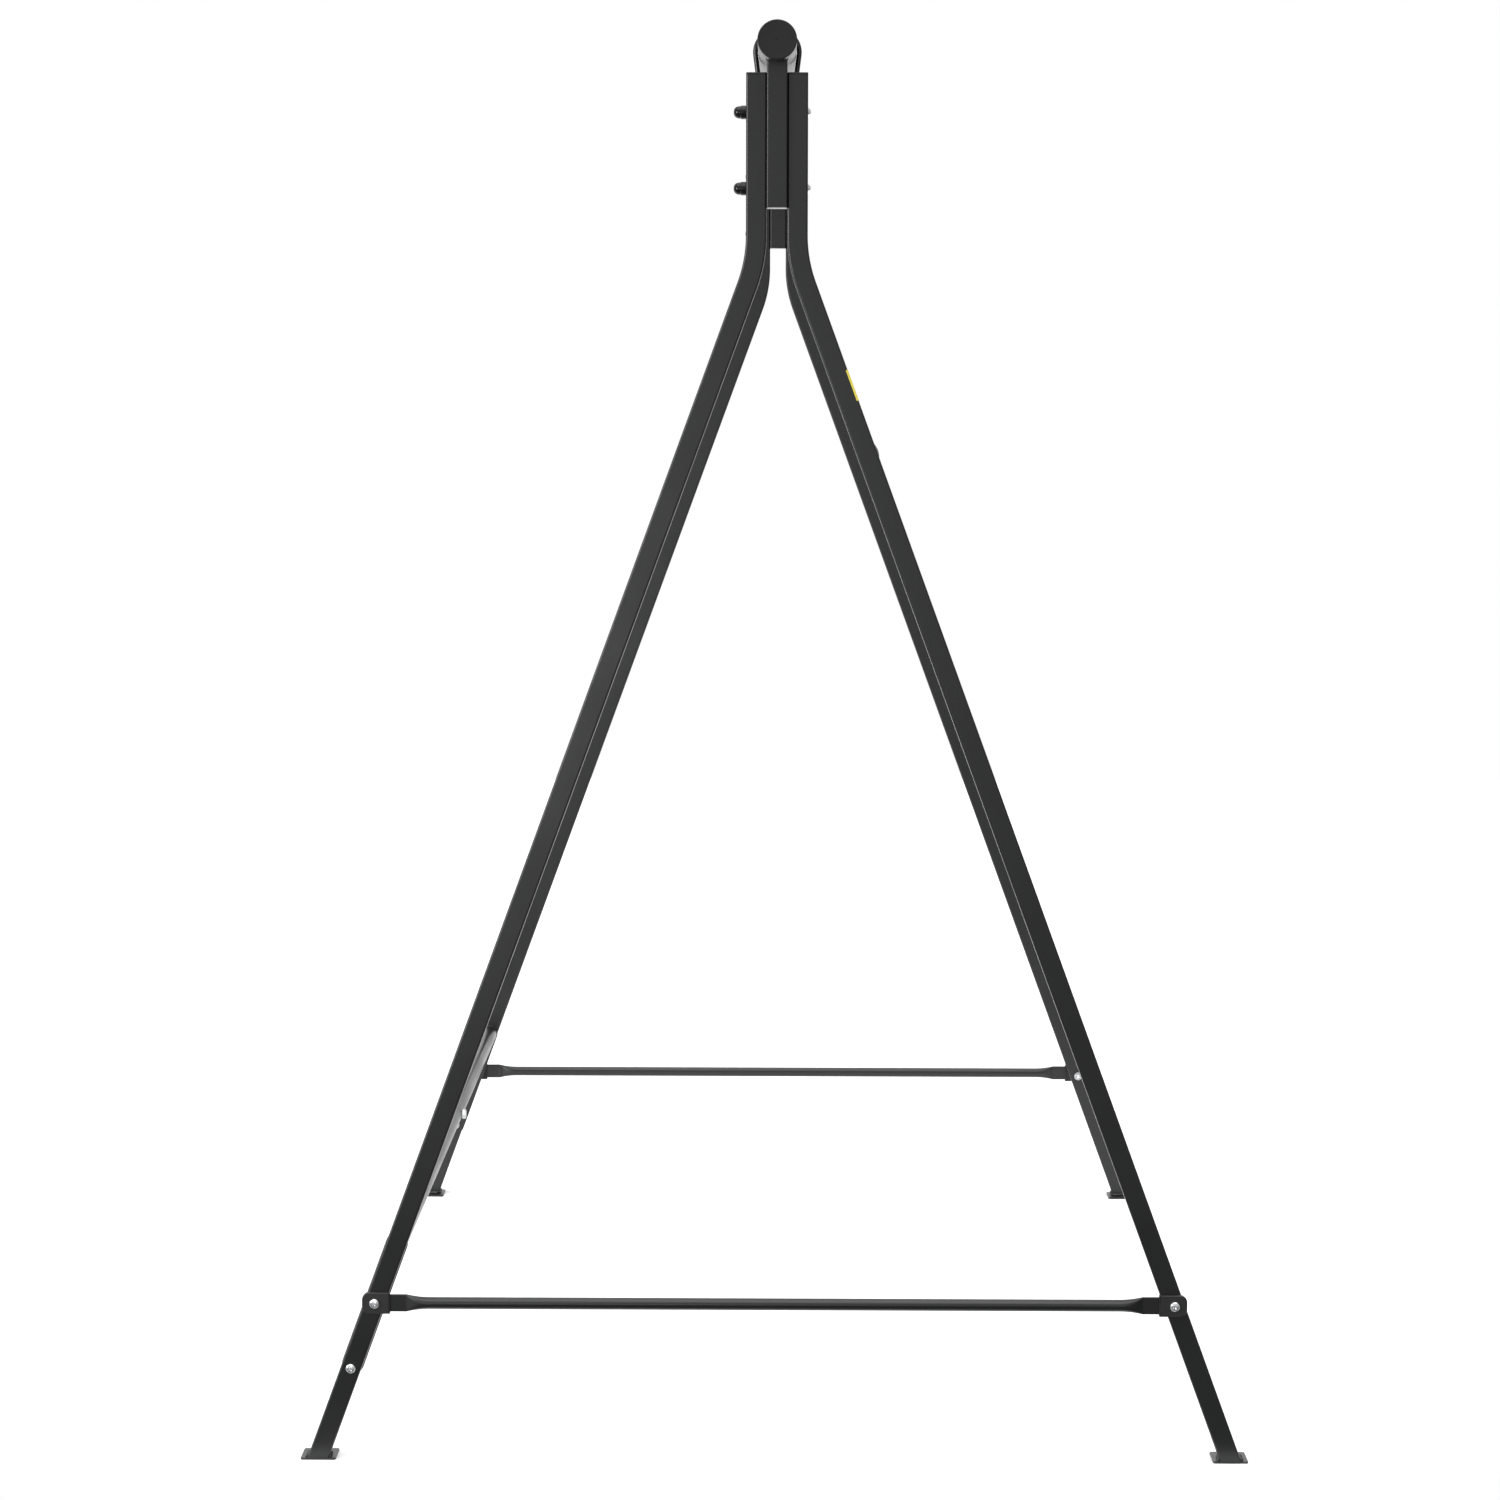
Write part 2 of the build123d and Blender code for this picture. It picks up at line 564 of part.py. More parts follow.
def build():
    """Build every node and write it."""
    leg_plugs = []
    post_plugs = []
    bolts = []
    nuts = []
    caps = []
    sleeves = []
    small_fixings = {"crossbar": ([], [], []), "lower": ([], [], [])}
    screws = []
    for end_name, end in ENDS.items():
        save(beam_end(end), f"beam_end_{end_name}")
        save(beam_cap(end), f"beam_cap_{end_name}")
        save(crossbar(end), f"crossbar_{end_name}")
        save(low_bar_plate(end), f"low_bar_plate_{end_name}")
        save(hanger(end), f"hanger_loop_{end_name}")
        post_plugs.append(post_plug(end))
        screws.append(joint_screw(end))
        for height in through_bolt_heights:
            bolts.append(through_bolt(end, height))
            nuts.append(through_nut(end, height))
            caps.append(nut_cap(end, height))
        for side_name, side in SIDES.items():
            save(leg(side, end), f"leg_{end_name}_{side_name}")
            save(foot_plate(side, end), f"foot_plate_{end_name}_{side_name}")
            leg_plugs.append(leg_top_plug(side, end))
            sleeves.append(crossbar_sleeve(side, end))
            head_face = outer_face + sleeve_thickness
            fixing = small_fixing(side, end, crossbar_bolt_x, crossbar_height, head_face)
            for group, piece in zip(small_fixings["crossbar"], fixing):
                group.append(piece)
        fixing = small_fixing(-1, end, lower_bolt_x, lower_bolt_height, outer_face)
        for group, piece in zip(small_fixings["lower"], fixing):
            group.append(piece)

    joint_bolt, joint_nut = low_bar_joint_fixing()
    save(beam_middle(), "beam_middle")
    save(low_bar_front(), "low_bar_front")
    save(low_bar_rear(), "low_bar_rear")
    save(joint_bolt, "low_bar_joint_bolt")
    save(joint_nut, "low_bar_joint_nut")
    save(leg_label(), "leg_label")
    save(leg_side_plug(), "leg_side_plug")
    groups = {
        "leg_top_plugs": leg_plugs,
        "post_plugs": post_plugs,
        "beam_joint_screws": screws,
        "through_bolts": bolts,
        "through_nuts": nuts,
        "nut_caps": caps,
        "crossbar_sleeves": sleeves,
    }
    for family, (family_bolts, washers, family_nuts) in small_fixings.items():
        groups[f"{family}_bolts"] = family_bolts
        groups[f"{family}_washers"] = washers
        groups[f"{family}_nuts"] = family_nuts
    for node, pieces in groups.items():
        save(Compound(children=[piece.solid() for piece in pieces]), node, len(pieces))


build()
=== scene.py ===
from math import atan2, cos, hypot, pi, radians, sin, sqrt, tan

import bmesh
import bpy
from mathutils import Matrix, Vector


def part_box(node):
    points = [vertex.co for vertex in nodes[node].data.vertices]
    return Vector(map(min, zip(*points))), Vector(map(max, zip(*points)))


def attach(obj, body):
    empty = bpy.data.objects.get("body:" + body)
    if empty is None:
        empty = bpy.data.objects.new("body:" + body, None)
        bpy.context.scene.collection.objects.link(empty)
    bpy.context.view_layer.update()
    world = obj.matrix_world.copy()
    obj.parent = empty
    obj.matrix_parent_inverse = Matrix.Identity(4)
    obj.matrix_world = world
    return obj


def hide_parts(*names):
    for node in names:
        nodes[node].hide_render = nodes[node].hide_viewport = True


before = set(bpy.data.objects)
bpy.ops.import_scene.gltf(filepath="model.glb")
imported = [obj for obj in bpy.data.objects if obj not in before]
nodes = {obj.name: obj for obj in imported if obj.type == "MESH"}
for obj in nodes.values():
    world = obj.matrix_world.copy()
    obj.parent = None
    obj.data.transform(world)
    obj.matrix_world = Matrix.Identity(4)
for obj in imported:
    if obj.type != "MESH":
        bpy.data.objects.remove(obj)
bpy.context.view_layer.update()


# Studio. A plain pale floor under soft light: a bright backdrop beyond the stand, a dimmer room
# behind the camera and to the right, a low soft box, a tall one on the left, and a wide overhead light.
# The camera stands in line with the top beam, a little below it.
def node(tree, kind, inputs=None, **settings):
    """Adds a node; each of its inputs is given a value, or a socket that it is linked to."""
    made = tree.nodes.new(kind)
    for key, value in settings.items():
        setattr(made, key, value)
    for key, value in (inputs or {}).items():
        if isinstance(value, bpy.types.NodeSocket):
            tree.links.new(value, made.inputs[key])
        else:
            made.inputs[key].default_value = value
    return made


eye = Vector((0.0057, -5.2981, 1.3717))
pitch, yaw, roll = radians(4.507), radians(-0.476), radians(0.105)
forward = Vector((sin(yaw) * cos(pitch), cos(yaw) * cos(pitch), -sin(pitch)))
level = Vector((cos(yaw), -sin(yaw), 0))
upward = level.cross(forward)
across = level * cos(roll) + upward * sin(roll)
upright = upward * cos(roll) - level * sin(roll)
camera = bpy.data.objects.new("camera", bpy.data.cameras.new("camera"))
camera.data.lens = 88.10
camera.data.sensor_width = 36
camera.data.shift_y = -0.06
camera.matrix_world = Matrix((across, upright, -forward)).transposed().to_4x4()
camera.location = eye
bpy.context.scene.collection.objects.link(camera)
bpy.context.scene.camera = camera
bpy.context.scene.view_settings.view_transform = "Standard"

floor_reach, floor_front, floor_back = 5.5, -0.81, 7
floor_mesh = bpy.data.meshes.new("floor")
floor_mesh.from_pydata([
    (-floor_reach, floor_front, 0), (floor_reach, floor_front, 0),
    (floor_reach, floor_back, 0), (-floor_reach, floor_back, 0),
], [], [(0, 1, 2, 3)])
floor = bpy.data.objects.new("floor", floor_mesh)
bpy.context.scene.collection.objects.link(floor)
floor_paint = bpy.data.materials.new("floor_paint")
floor_paint.use_nodes = True
floor_shader = floor_paint.node_tree.nodes["Principled BSDF"]
floor_shader.inputs["Base Color"].default_value = (0.93, 0.93, 0.93, 1)
floor_shader.inputs["Roughness"].default_value = 1
floor_shader.inputs["Specular IOR Level"].default_value = 0
floor_mesh.materials.append(floor_paint)

world = bpy.data.worlds.new("studio")
bpy.context.scene.world = world
world.use_nodes = True
sky = world.node_tree
sky.nodes.clear()
way = node(sky, "ShaderNodeSeparateXYZ", {0: node(sky, "ShaderNodeTexCoord").outputs["Generated"]})


def ramp(tree, value, start, stop, first, last):
    """A smooth change from first to last while value goes from start to stop."""
    made = node(tree, "ShaderNodeMapRange", {0: value, 1: start, 2: stop, 3: first, 4: last})
    made.interpolation_type = "SMOOTHSTEP"
    return made


backdrop_glow = 1.1
room_low = ramp(sky, way.outputs["Z"], -0.24, 0.05, 0.22, 0.85)
beyond = ramp(sky, way.outputs["Y"], -0.3, 0.35, 0, 1)
depth = node(sky, "ShaderNodeMix", {0: beyond.outputs[0], 2: room_low.outputs[0], 3: backdrop_glow})
right = ramp(sky, way.outputs["X"], 0.25, 0.85, 1.0, 0.5)
glow = node(sky, "ShaderNodeMath", {0: depth.outputs[0], 1: right.outputs[0]}, operation="MULTIPLY")
room = node(sky, "ShaderNodeBackground", {0: (1, 1, 1, 1), 1: glow.outputs[0]})
white = node(sky, "ShaderNodeBackground", {0: (1, 1, 1, 1), 1: 1.0})
seen = node(sky, "ShaderNodeLightPath")
mix = node(
    sky, "ShaderNodeMixShader", {0: seen.outputs["Is Camera Ray"], 1: room.outputs[0], 2: white.outputs[0]},
)
node(sky, "ShaderNodeOutputWorld", {0: mix.outputs[0]})

overhead = bpy.data.objects.new("overhead_light", bpy.data.lights.new("overhead_light", "SUN"))
overhead.data.energy = 2.2
overhead.data.angle = radians(70)
overhead.matrix_world = Matrix.Rotation(radians(12), 4, "X")
bpy.context.scene.collection.objects.link(overhead)
for name, place, aim, width, height, power in (
    ("low_box", (-0.75, -6.5, 0.5), (0, 0, 1.0), 0.8, 0.9, 12),
    ("left_box", (-3.6, -4.2, 1.5), (0, -0.7, 1.2), 1.3, 2.6, 150),
):
    lamp = bpy.data.lights.new(name, "AREA")
    lamp.shape, lamp.size, lamp.size_y, lamp.energy = "RECTANGLE", width, height, power
    box = bpy.data.objects.new(name, lamp)
    box.matrix_world = (Vector(aim) - Vector(place)).to_track_quat("-Z", "Y").to_matrix().to_4x4()
    box.location = place
    bpy.context.scene.collection.objects.link(box)


# Legs. Each is a length of square steel tube, bent once where it leaves the post, and black
# powder-coated. It is cut level at the bottom, where it is welded to its foot plate.
def surface(name, dark, light, low_gloss, high_gloss, scale, detail=3.0):
    """A material whose shade and gloss drift with a soft cloud. Also its tree, place and cloud."""
    made = bpy.data.materials.new(name)
    made.use_nodes = True
    tree = made.node_tree
    shader = tree.nodes["Principled BSDF"]
    place = node(tree, "ShaderNodeTexCoord").outputs["Object"]
    cloud = node(tree, "ShaderNodeTexNoise", {"Vector": place, "Scale": scale, "Detail": detail}).outputs[0]
    gloss = node(tree, "ShaderNodeMapRange", {0: cloud, 1: 0.3, 2: 0.7, 3: low_gloss, 4: high_gloss})
    shade = node(tree, "ShaderNodeMix", {0: cloud, 6: (*dark, 1), 7: (*light, 1)}, data_type="RGBA")
    tree.links.new(gloss.outputs[0], shader.inputs["Roughness"])
    tree.links.new(shade.outputs[2], shader.inputs["Base Color"])
    return made, tree, place, cloud


def relief(tree, height, depth):
    """Gives a material a fine relief from a height between 0 and 1."""
    bump = node(tree, "ShaderNodeBump", {"Height": height, "Strength": 1.0, "Distance": depth})
    tree.links.new(bump.outputs[0], tree.nodes["Principled BSDF"].inputs["Normal"])


def powder_coat(name, tint, low_gloss, high_gloss, peel):
    """Satin black powder coat: fine orange peel, with small changes of gloss and shade."""
    dark = [0.86 * channel for channel in tint]
    made, tree, place, _ = surface(name, dark, tint, low_gloss, high_gloss, 9.0, detail=4.0)
    ripples = node(tree, "ShaderNodeTexNoise", {"Vector": place, "Scale": 620.0, "Detail": 1.0}).outputs[0]
    grit = node(tree, "ShaderNodeTexNoise", {"Vector": place, "Scale": 3600.0, "Detail": 2.0}).outputs[0]
    height = node(
        tree, "ShaderNodeMath", {0: grit, 1: 0.18, 2: ripples}, operation="MULTIPLY_ADD",
    ).outputs[0]
    relief(tree, height, peel)
    return made


def new_tree(name, **sizes):
    """An empty Geometry Nodes tree with a named input for each size, given its usual value."""
    kinds = {float: "Float", str: "Object"}
    tree = bpy.data.node_groups.new(name, "GeometryNodeTree")
    tree.interface.new_socket("Geometry", in_out="INPUT", socket_type="NodeSocketGeometry")
    tree.interface.new_socket("Material", in_out="INPUT", socket_type="NodeSocketMaterial")
    for size, value in sizes.items():
        kind = "NodeSocket" + kinds[type(value)]
        socket = tree.interface.new_socket(
            size.replace("_", " ").capitalize(), in_out="INPUT", socket_type=kind,
        )
        if kinds[type(value)] != "Object":
            socket.default_value = value
    tree.interface.new_socket("Geometry", in_out="OUTPUT", socket_type="NodeSocketGeometry")
    return tree, tree.nodes.new("NodeGroupInput").outputs


def end_tree(tree, socket, paint):
    """Ends a tree: makes any instances real, and gives the result its material."""
    real = node(tree, "GeometryNodeRealizeInstances", {0: socket})
    done = node(tree, "GeometryNodeSetMaterial", {0: real.outputs[0], "Material": paint})
    node(tree, "NodeGroupOutput", {0: done.outputs[0]})


def grown(tree, start, material, **sizes):
    """Runs a tree on a starting mesh and returns what it makes as a plain mesh."""
    worker = bpy.data.objects.new("worker", start)
    bpy.context.scene.collection.objects.link(worker)
    modifier = worker.modifiers.new("grow", "NODES")
    modifier.node_group = tree
    sockets = {item.name: item.identifier for item in tree.interface.items_tree if item.in_out == "INPUT"}
    modifier[sockets["Material"]] = material
    for size, value in sizes.items():
        modifier[sockets[size.replace("_", " ").capitalize()]] = value
    bpy.context.view_layer.update()
    made = bpy.data.meshes.new_from_object(worker.evaluated_get(bpy.context.evaluated_depsgraph_get()))
    bpy.data.objects.remove(worker)
    return made


def line(points, closed=False):
    """A mesh of edges along a row of points."""
    made = bpy.data.meshes.new("line")
    last = len(points) if closed else len(points) - 1
    made.from_pydata(points, [(i, (i + 1) % len(points)) for i in range(last)], [])
    return made


def piece(name, meshes, material, replaced, body="stand", sharp=35):
    """Joins meshes in one finished piece: seams closed, faces outward, edges sharp past an angle."""
    joined = bmesh.new()
    for mesh in meshes:
        joined.from_mesh(mesh)
    bmesh.ops.remove_doubles(joined, verts=joined.verts, dist=2e-6)
    bmesh.ops.recalc_face_normals(joined, faces=joined.faces)
    made = bpy.data.meshes.new(name)
    joined.to_mesh(made)
    joined.free()
    made.materials.clear()
    made.materials.append(material)
    made.polygons.foreach_set("material_index", [0] * len(made.polygons))
    made.shade_smooth()
    made.set_sharp_from_angle(angle=radians(sharp))
    obj = bpy.data.objects.new(name, made)
    bpy.context.scene.collection.objects.link(obj)
    weights = obj.modifiers.new("face_weights", "WEIGHTED_NORMAL")
    weights.keep_sharp = True
    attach(obj, body)
    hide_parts(*replaced)


steel_black = powder_coat("satin_black_coat", (0.0056, 0.0062, 0.0060), 0.27, 0.35, 0.000035)

bar_tree, bar = new_tree(
    "bent_square_tube", width=0.0254, depth=0.0254, corner=0.0025, bend=0.18, cut_height=-1.0,
    cut_slope=0.0,
)
run = node(bar_tree, "GeometryNodeMeshToCurve", {0: bar["Geometry"]})
turn = node(
    bar_tree, "GeometryNodeFilletCurve", {"Curve": run.outputs[0], "Count": 24, "Radius": bar["Bend"]},
    mode="POLY",
)
face = node(
    bar_tree, "GeometryNodeCurvePrimitiveQuadrilateral", {"Width": bar["Depth"], "Height": bar["Width"]},
)
section = node(
    bar_tree, "GeometryNodeFilletCurve", {"Curve": face.outputs[0], "Count": 6, "Radius": bar["Corner"]},
    mode="POLY",
)
tube = node(
    bar_tree, "GeometryNodeCurveToMesh",
    {"Curve": turn.outputs[0], "Profile Curve": section.outputs[0], "Fill Caps": True},
)
spot = node(bar_tree, "ShaderNodeSeparateXYZ", {0: node(bar_tree, "GeometryNodeInputPosition").outputs[0]})
rise = node(bar_tree, "ShaderNodeMath", {0: bar["Cut height"], 1: spot.outputs["Z"]}, operation="SUBTRACT")
slide = node(bar_tree, "ShaderNodeMath", {0: rise.outputs[0], 1: bar["Cut slope"]}, operation="MULTIPLY")
move = node(bar_tree, "ShaderNodeCombineXYZ", {0: slide.outputs[0], 2: rise.outputs[0]})
above = node(bar_tree, "ShaderNodeMath", {0: bar["Cut height"], 1: bar["Width"]}, operation="ADD")
near_cut = node(
    bar_tree, "ShaderNodeMath", {0: spot.outputs["Z"], 1: above.outputs[0]}, operation="LESS_THAN",
)
cut = node(
    bar_tree, "GeometryNodeSetPosition",
    {"Geometry": tube.outputs[0], "Selection": near_cut.outputs[0], "Offset": move.outputs[0]},
)
end_tree(bar_tree, cut.outputs[0], bar["Material"])

leg_low, leg_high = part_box("leg_front_right")
leg_size = leg_high.y - leg_low.y
leg_x = leg_low.x + leg_size / 2
bend_height = 1.506
lean = 0.35
for _ in range(8):
    foot_x = leg_high.x - leg_size / 2 / cos(lean)
    lean = atan2(foot_x - leg_x, bend_height - leg_low.z)


def leg_centre(height):
    """X of a right leg's centreline at a height below its bend."""
    return leg_x + (bend_height - height) * tan(lean)


for end_name, end in (("front", -1), ("rear", 1)):
    for side_name, side in (("left", -1), ("right", 1)):
        leg_node = f"leg_{end_name}_{side_name}"
        leg_y = sum(corner.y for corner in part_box(leg_node)) / 2
        path = [
            (side * leg_x, leg_y, leg_high.z), (side * leg_x, leg_y, bend_height),
            (side * foot_x, leg_y, leg_low.z),
        ]
        tube_mesh = grown(
            bar_tree, line(path), steel_black, width=leg_size, depth=leg_size, cut_height=leg_low.z,
            cut_slope=-side * tan(lean),
        )
        piece(leg_node + "_tube", [tube_mesh], steel_black, replaced=[leg_node])


# Foot plates. Each is a flat blanked steel plate with round corners and one hole for a stake,
# welded under its leg and coated with it. The weld runs round three sides of the leg.
def outline(width, length, corner, steps=6):
    """A rectangle with round corners, as points in the XY plane."""
    points = []
    for quarter, (sx, sy) in enumerate(((1, 1), (-1, 1), (-1, -1), (1, -1))):
        for step in range(steps + 1):
            angle = (quarter + step / steps) * pi / 2
            points.append((
                sx * (width / 2 - corner) + corner * cos(angle),
                sy * (length / 2 - corner) + corner * sin(angle),
            ))
    return points


def stacked(rings):
    """A closed shell through rings of points, each ring with as many points as the last."""
    shell = bmesh.new()
    rows = [[shell.verts.new(point) for point in ring] for ring in rings]
    for low, high in zip(rows, rows[1:]):
        for i in range(len(low)):
            j = (i + 1) % len(low)
            shell.faces.new((low[i], low[j], high[j], high[i]))
    shell.faces.new(list(reversed(rows[0])))
    shell.faces.new(rows[-1])
    made = bpy.data.meshes.new("stacked")
    shell.to_mesh(made)
    shell.free()
    return made


def slab(width, length, corner, low, high, edge, steps=6):
    """A plate with round corners and rounded edges, from a low to a high level."""
    rings = []
    for step in range(4):
        angle = step / 3 * pi / 2
        inset = edge * (1 - sin(angle))
        rings.append((inset, edge * (1 - cos(angle))))
    levels = [(inset, low + rise) for inset, rise in rings]
    levels += [(inset, high - rise) for inset, rise in reversed(rings)]
    return stacked([
        [(x, y, z) for x, y in outline(width - 2 * inset, length - 2 * inset, corner - inset, steps)]
        for inset, z in levels
    ])


def placed(mesh, turn):
    """A copy of a mesh, moved and turned by a matrix."""
    made = mesh.copy()
    made.transform(turn)
    return made


def carved(mesh, cutters):
    """A mesh with closed cutting shapes taken out of it."""
    whole = bpy.data.objects.new("whole", mesh)
    bpy.context.scene.collection.objects.link(whole)
    tools = []
    for cutter in cutters:
        tool = bpy.data.objects.new("tool", cutter)
        bpy.context.scene.collection.objects.link(tool)
        cut = whole.modifiers.new("cut", "BOOLEAN")
        cut.object, cut.solver = tool, "EXACT"
        tools.append(tool)
    bpy.context.view_layer.update()
    made = bpy.data.meshes.new_from_object(whole.evaluated_get(bpy.context.evaluated_depsgraph_get()))
    for used in [whole, *tools]:
        bpy.data.objects.remove(used)
    return made


def turned(profile, steps=48):
    """A shape turned about Z from (radius, height) pairs; a pair may be a function of the angle."""
    shell = bmesh.new()
    rows = []
    for point in profile:
        row = []
        for step in range(steps):
            angle = 2 * pi * step / steps
            radius, height = point(angle) if callable(point) else point
            row.append(shell.verts.new((radius * cos(angle), radius * sin(angle), height)))
            if radius < 1e-7:
                break
        rows.append(row)
    closing = [] if len(rows[0]) == 1 else [(rows[-1], rows[0])]
    for low, high in [*zip(rows, rows[1:]), *closing]:
        for i in range(steps):
            j = (i + 1) % steps
            corners = [low[i % len(low)], low[j % len(low)], high[j % len(high)], high[i % len(high)]]
            shell.faces.new(list(dict.fromkeys(corners)))
    made = bpy.data.meshes.new("turned")
    shell.to_mesh(made)
    shell.free()
    return made


weld_tree, weld_in = new_tree("weld_bead", size=0.002, ripple_pitch=0.0017, ripple_depth=0.16)
seam = node(weld_tree, "GeometryNodeMeshToCurve", {0: weld_in["Geometry"]})
fifth = node(weld_tree, "ShaderNodeMath", {0: weld_in["Ripple pitch"], 1: 5.0}, operation="DIVIDE")
fine = node(
    weld_tree, "GeometryNodeResampleCurve", {"Curve": seam.outputs[0], "Length": fifth.outputs[0]},
    mode="LENGTH",
)
walked = node(weld_tree, "GeometryNodeSplineParameter").outputs["Length"]
beat = node(weld_tree, "ShaderNodeMath", {0: walked, 1: weld_in["Ripple pitch"]}, operation="DIVIDE")
tooth = node(weld_tree, "ShaderNodeMath", {0: beat.outputs[0]}, operation="FRACT")
wander = node(
    weld_tree, "ShaderNodeTexNoise",
    {"Vector": node(weld_tree, "GeometryNodeInputPosition").outputs[0], "Scale": 260.0},
)
both = node(weld_tree, "ShaderNodeMath", {0: tooth.outputs[0], 1: wander.outputs[0]}, operation="ADD")
swell = node(
    weld_tree, "ShaderNodeMath", {0: both.outputs[0], 1: weld_in["Ripple depth"], 2: 0.85},
    operation="MULTIPLY_ADD",
)
thick = node(weld_tree, "ShaderNodeMath", {0: swell.outputs[0], 1: weld_in["Size"]}, operation="MULTIPLY")
bead_run = node(
    weld_tree, "GeometryNodeSetCurveRadius", {"Curve": fine.outputs[0], "Radius": thick.outputs[0]},
)
bead_face = node(weld_tree, "GeometryNodeCurvePrimitiveCircle", {"Resolution": 10, "Radius": 1.0})
bead = node(
    weld_tree, "GeometryNodeCurveToMesh",
    {"Curve": bead_run.outputs[0], "Profile Curve": bead_face.outputs[0], "Fill Caps": True},
)
if "Scale" in bead.inputs:
    weld_tree.links.new(thick.outputs[0], bead.inputs["Scale"])
end_tree(weld_tree, bead.outputs[0], weld_in["Material"])

foot_corner, foot_edge, stake_radius, hole_reach = 0.003, 0.0006, 0.00425, 0.01
foot_weld_size, foot_weld_lift, weld_turn, weld_run = 0.0028, 0.0008, 0.0025, leg_size * 0.42
for end_name, end in (("front", -1), ("rear", 1)):
    for side_name, side in (("left", -1), ("right", 1)):
        plate_node = f"foot_plate_{end_name}_{side_name}"
        low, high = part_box(plate_node)
        middle = (low + high) / 2
        plate = slab(high.x - low.x, high.y - low.y, foot_corner, low.z, high.z, foot_edge)
        plate = placed(plate, Matrix.Translation((middle.x, middle.y, 0)))
        leg_y = sum(corner.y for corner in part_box(f"leg_{end_name}_{side_name}")) / 2
        leg_back = leg_y - end * leg_size / 2
        plate_back = low.y if end > 0 else high.y
        stake_y = (leg_back + plate_back) / 2
        hole = turned([
            (0, -hole_reach), (stake_radius, -hole_reach), (stake_radius, hole_reach), (0, hole_reach),
        ])
        plate = carved(plate, [placed(hole, Matrix.Translation((middle.x, stake_y, 0)))])
        wide = leg_size / 2 / cos(lean)
        half_run = [
            (wide, leg_y + end * weld_run), (wide, leg_back + end * weld_turn),
            (wide - weld_turn, leg_back),
        ]
        around = [(middle.x - x, y, high.z) for x, y in half_run]
        around += [(middle.x + x, y, high.z) for x, y in reversed(half_run)]
        foot_weld = grown(weld_tree, line(around), steel_black, size=foot_weld_size)
        foot_weld = placed(foot_weld, Matrix.Translation((0, 0, foot_weld_lift)))
        piece(plate_node + "_blank", [plate, foot_weld], steel_black, replaced=[plate_node])


# Leg top plugs. Each is a square black plastic plug pushed into a leg's open top, with a thin
# flange that covers the tube's cut edge.
def grained_plastic(name, tint, rough, grain):
    """Black moulded plastic with a fine even grain and slightly uneven gloss."""
    dark = [0.85 * channel for channel in tint]
    made, tree, place, _ = surface(name, dark, tint, rough - 0.05, rough + 0.05, 60.0)
    cells = node(tree, "ShaderNodeTexVoronoi", {"Vector": place, "Scale": 2400.0}).outputs["Distance"]
    relief(tree, cells, grain)
    return made


plug_plastic = grained_plastic("grained_black_plastic", (0.0100, 0.0100, 0.0100), 0.45, 0.00003)
low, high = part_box("leg_top_plugs")
plug_flange, plug_corner, plug_edge = 0.0025, 0.0025, 0.0008
plugs = []
for end_name, end in (("front", -1), ("rear", 1)):
    for side in (-1, 1):
        leg_y = sum(corner.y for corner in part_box(f"leg_{end_name}_left")) / 2
        flange = slab(leg_size, leg_size, plug_corner, high.z - plug_flange, high.z, plug_edge)
        plugs.append(placed(flange, Matrix.Translation((side * leg_x, leg_y, 0))))
piece("leg_top_plug_flanges", plugs, plug_plastic, replaced=["leg_top_plugs"])


# Crossbars. Each is a round steel tube with both ends pressed flat and drilled, coated black,
# and bolted across the outer faces of an A-frame's two legs.
def pressed(x, squash, radius, wall, y, z, steps=10):
    """One section of a tube pressed flat: squash is 0 for round and 1 for quite flat."""
    inner = 2 * (radius - wall) * (1 - squash)
    straight = (pi * (radius - wall) - pi * inner / 2) / 2
    bow = inner / 2 + wall
    ring = []
    for centre, start in ((straight, 0), (-straight, pi)):
        for step in range(steps + 1):
            angle = start + pi * step / steps
            ring.append((x, y + bow * cos(angle), z + centre + bow * sin(angle)))
    return ring


bar_wall, flat_run, flat_lead, end_edge = 0.0012, 0.040, 0.002, 0.0005
press_run, press_steps, press_ease = 0.0306, 14, 2.2
bolt_x = leg_centre(sum(corner.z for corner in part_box("crossbar_bolts")) / 2)
for end_name in ("front", "rear"):
    low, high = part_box(f"crossbar_{end_name}")
    bar_y, bar_z = (low.y + high.y) / 2, (low.z + high.z) / 2
    bar_radius = (high.y - low.y) / 2
    flat_start = bolt_x - flat_run
    half = [(0.0, 0), (flat_start - press_run, 0)]
    for step in range(1, press_steps + 1):
        pressed_by = step / press_steps
        half.append((flat_start - press_run * (1 - pressed_by), pressed_by ** press_ease))
    half += [(flat_start + flat_lead, 1), (high.x - end_edge, 1), (high.x, 1)]
    stations = [(-x, squash) for x, squash in reversed(half[1:])] + half
    rings = [pressed(x, squash, bar_radius, bar_wall, bar_y, bar_z) for x, squash in stations]
    piece(
        f"crossbar_{end_name}_tube", [stacked(rings)], steel_black,
        replaced=[f"crossbar_{end_name}"], sharp=50,
    )


# Crossbar sleeves. Each is a black plastic sleeve pushed over a crossbar's flat end, round at
# its closed outer end, and held by the same bolt as the bar.
def set_out(tree, start, part, material):
    """Places a part at every point of a mesh, and removes the pattern part."""
    pattern = bpy.data.objects.new("pattern", part)
    bpy.context.scene.collection.objects.link(pattern)
    made = grown(tree, start, material, part=pattern)
    bpy.data.objects.remove(pattern)
    return made


def places(spots):
    """A mesh of points, each with the turn that a part placed on it takes."""
    made = bpy.data.meshes.new("places")
    made.from_pydata([spot for spot, turn in spots], [], [])
    turns = made.attributes.new("turn", "FLOAT_VECTOR", "POINT")
    for row, (spot, turn) in zip(turns.data, spots):
        row.vector = turn
    return made


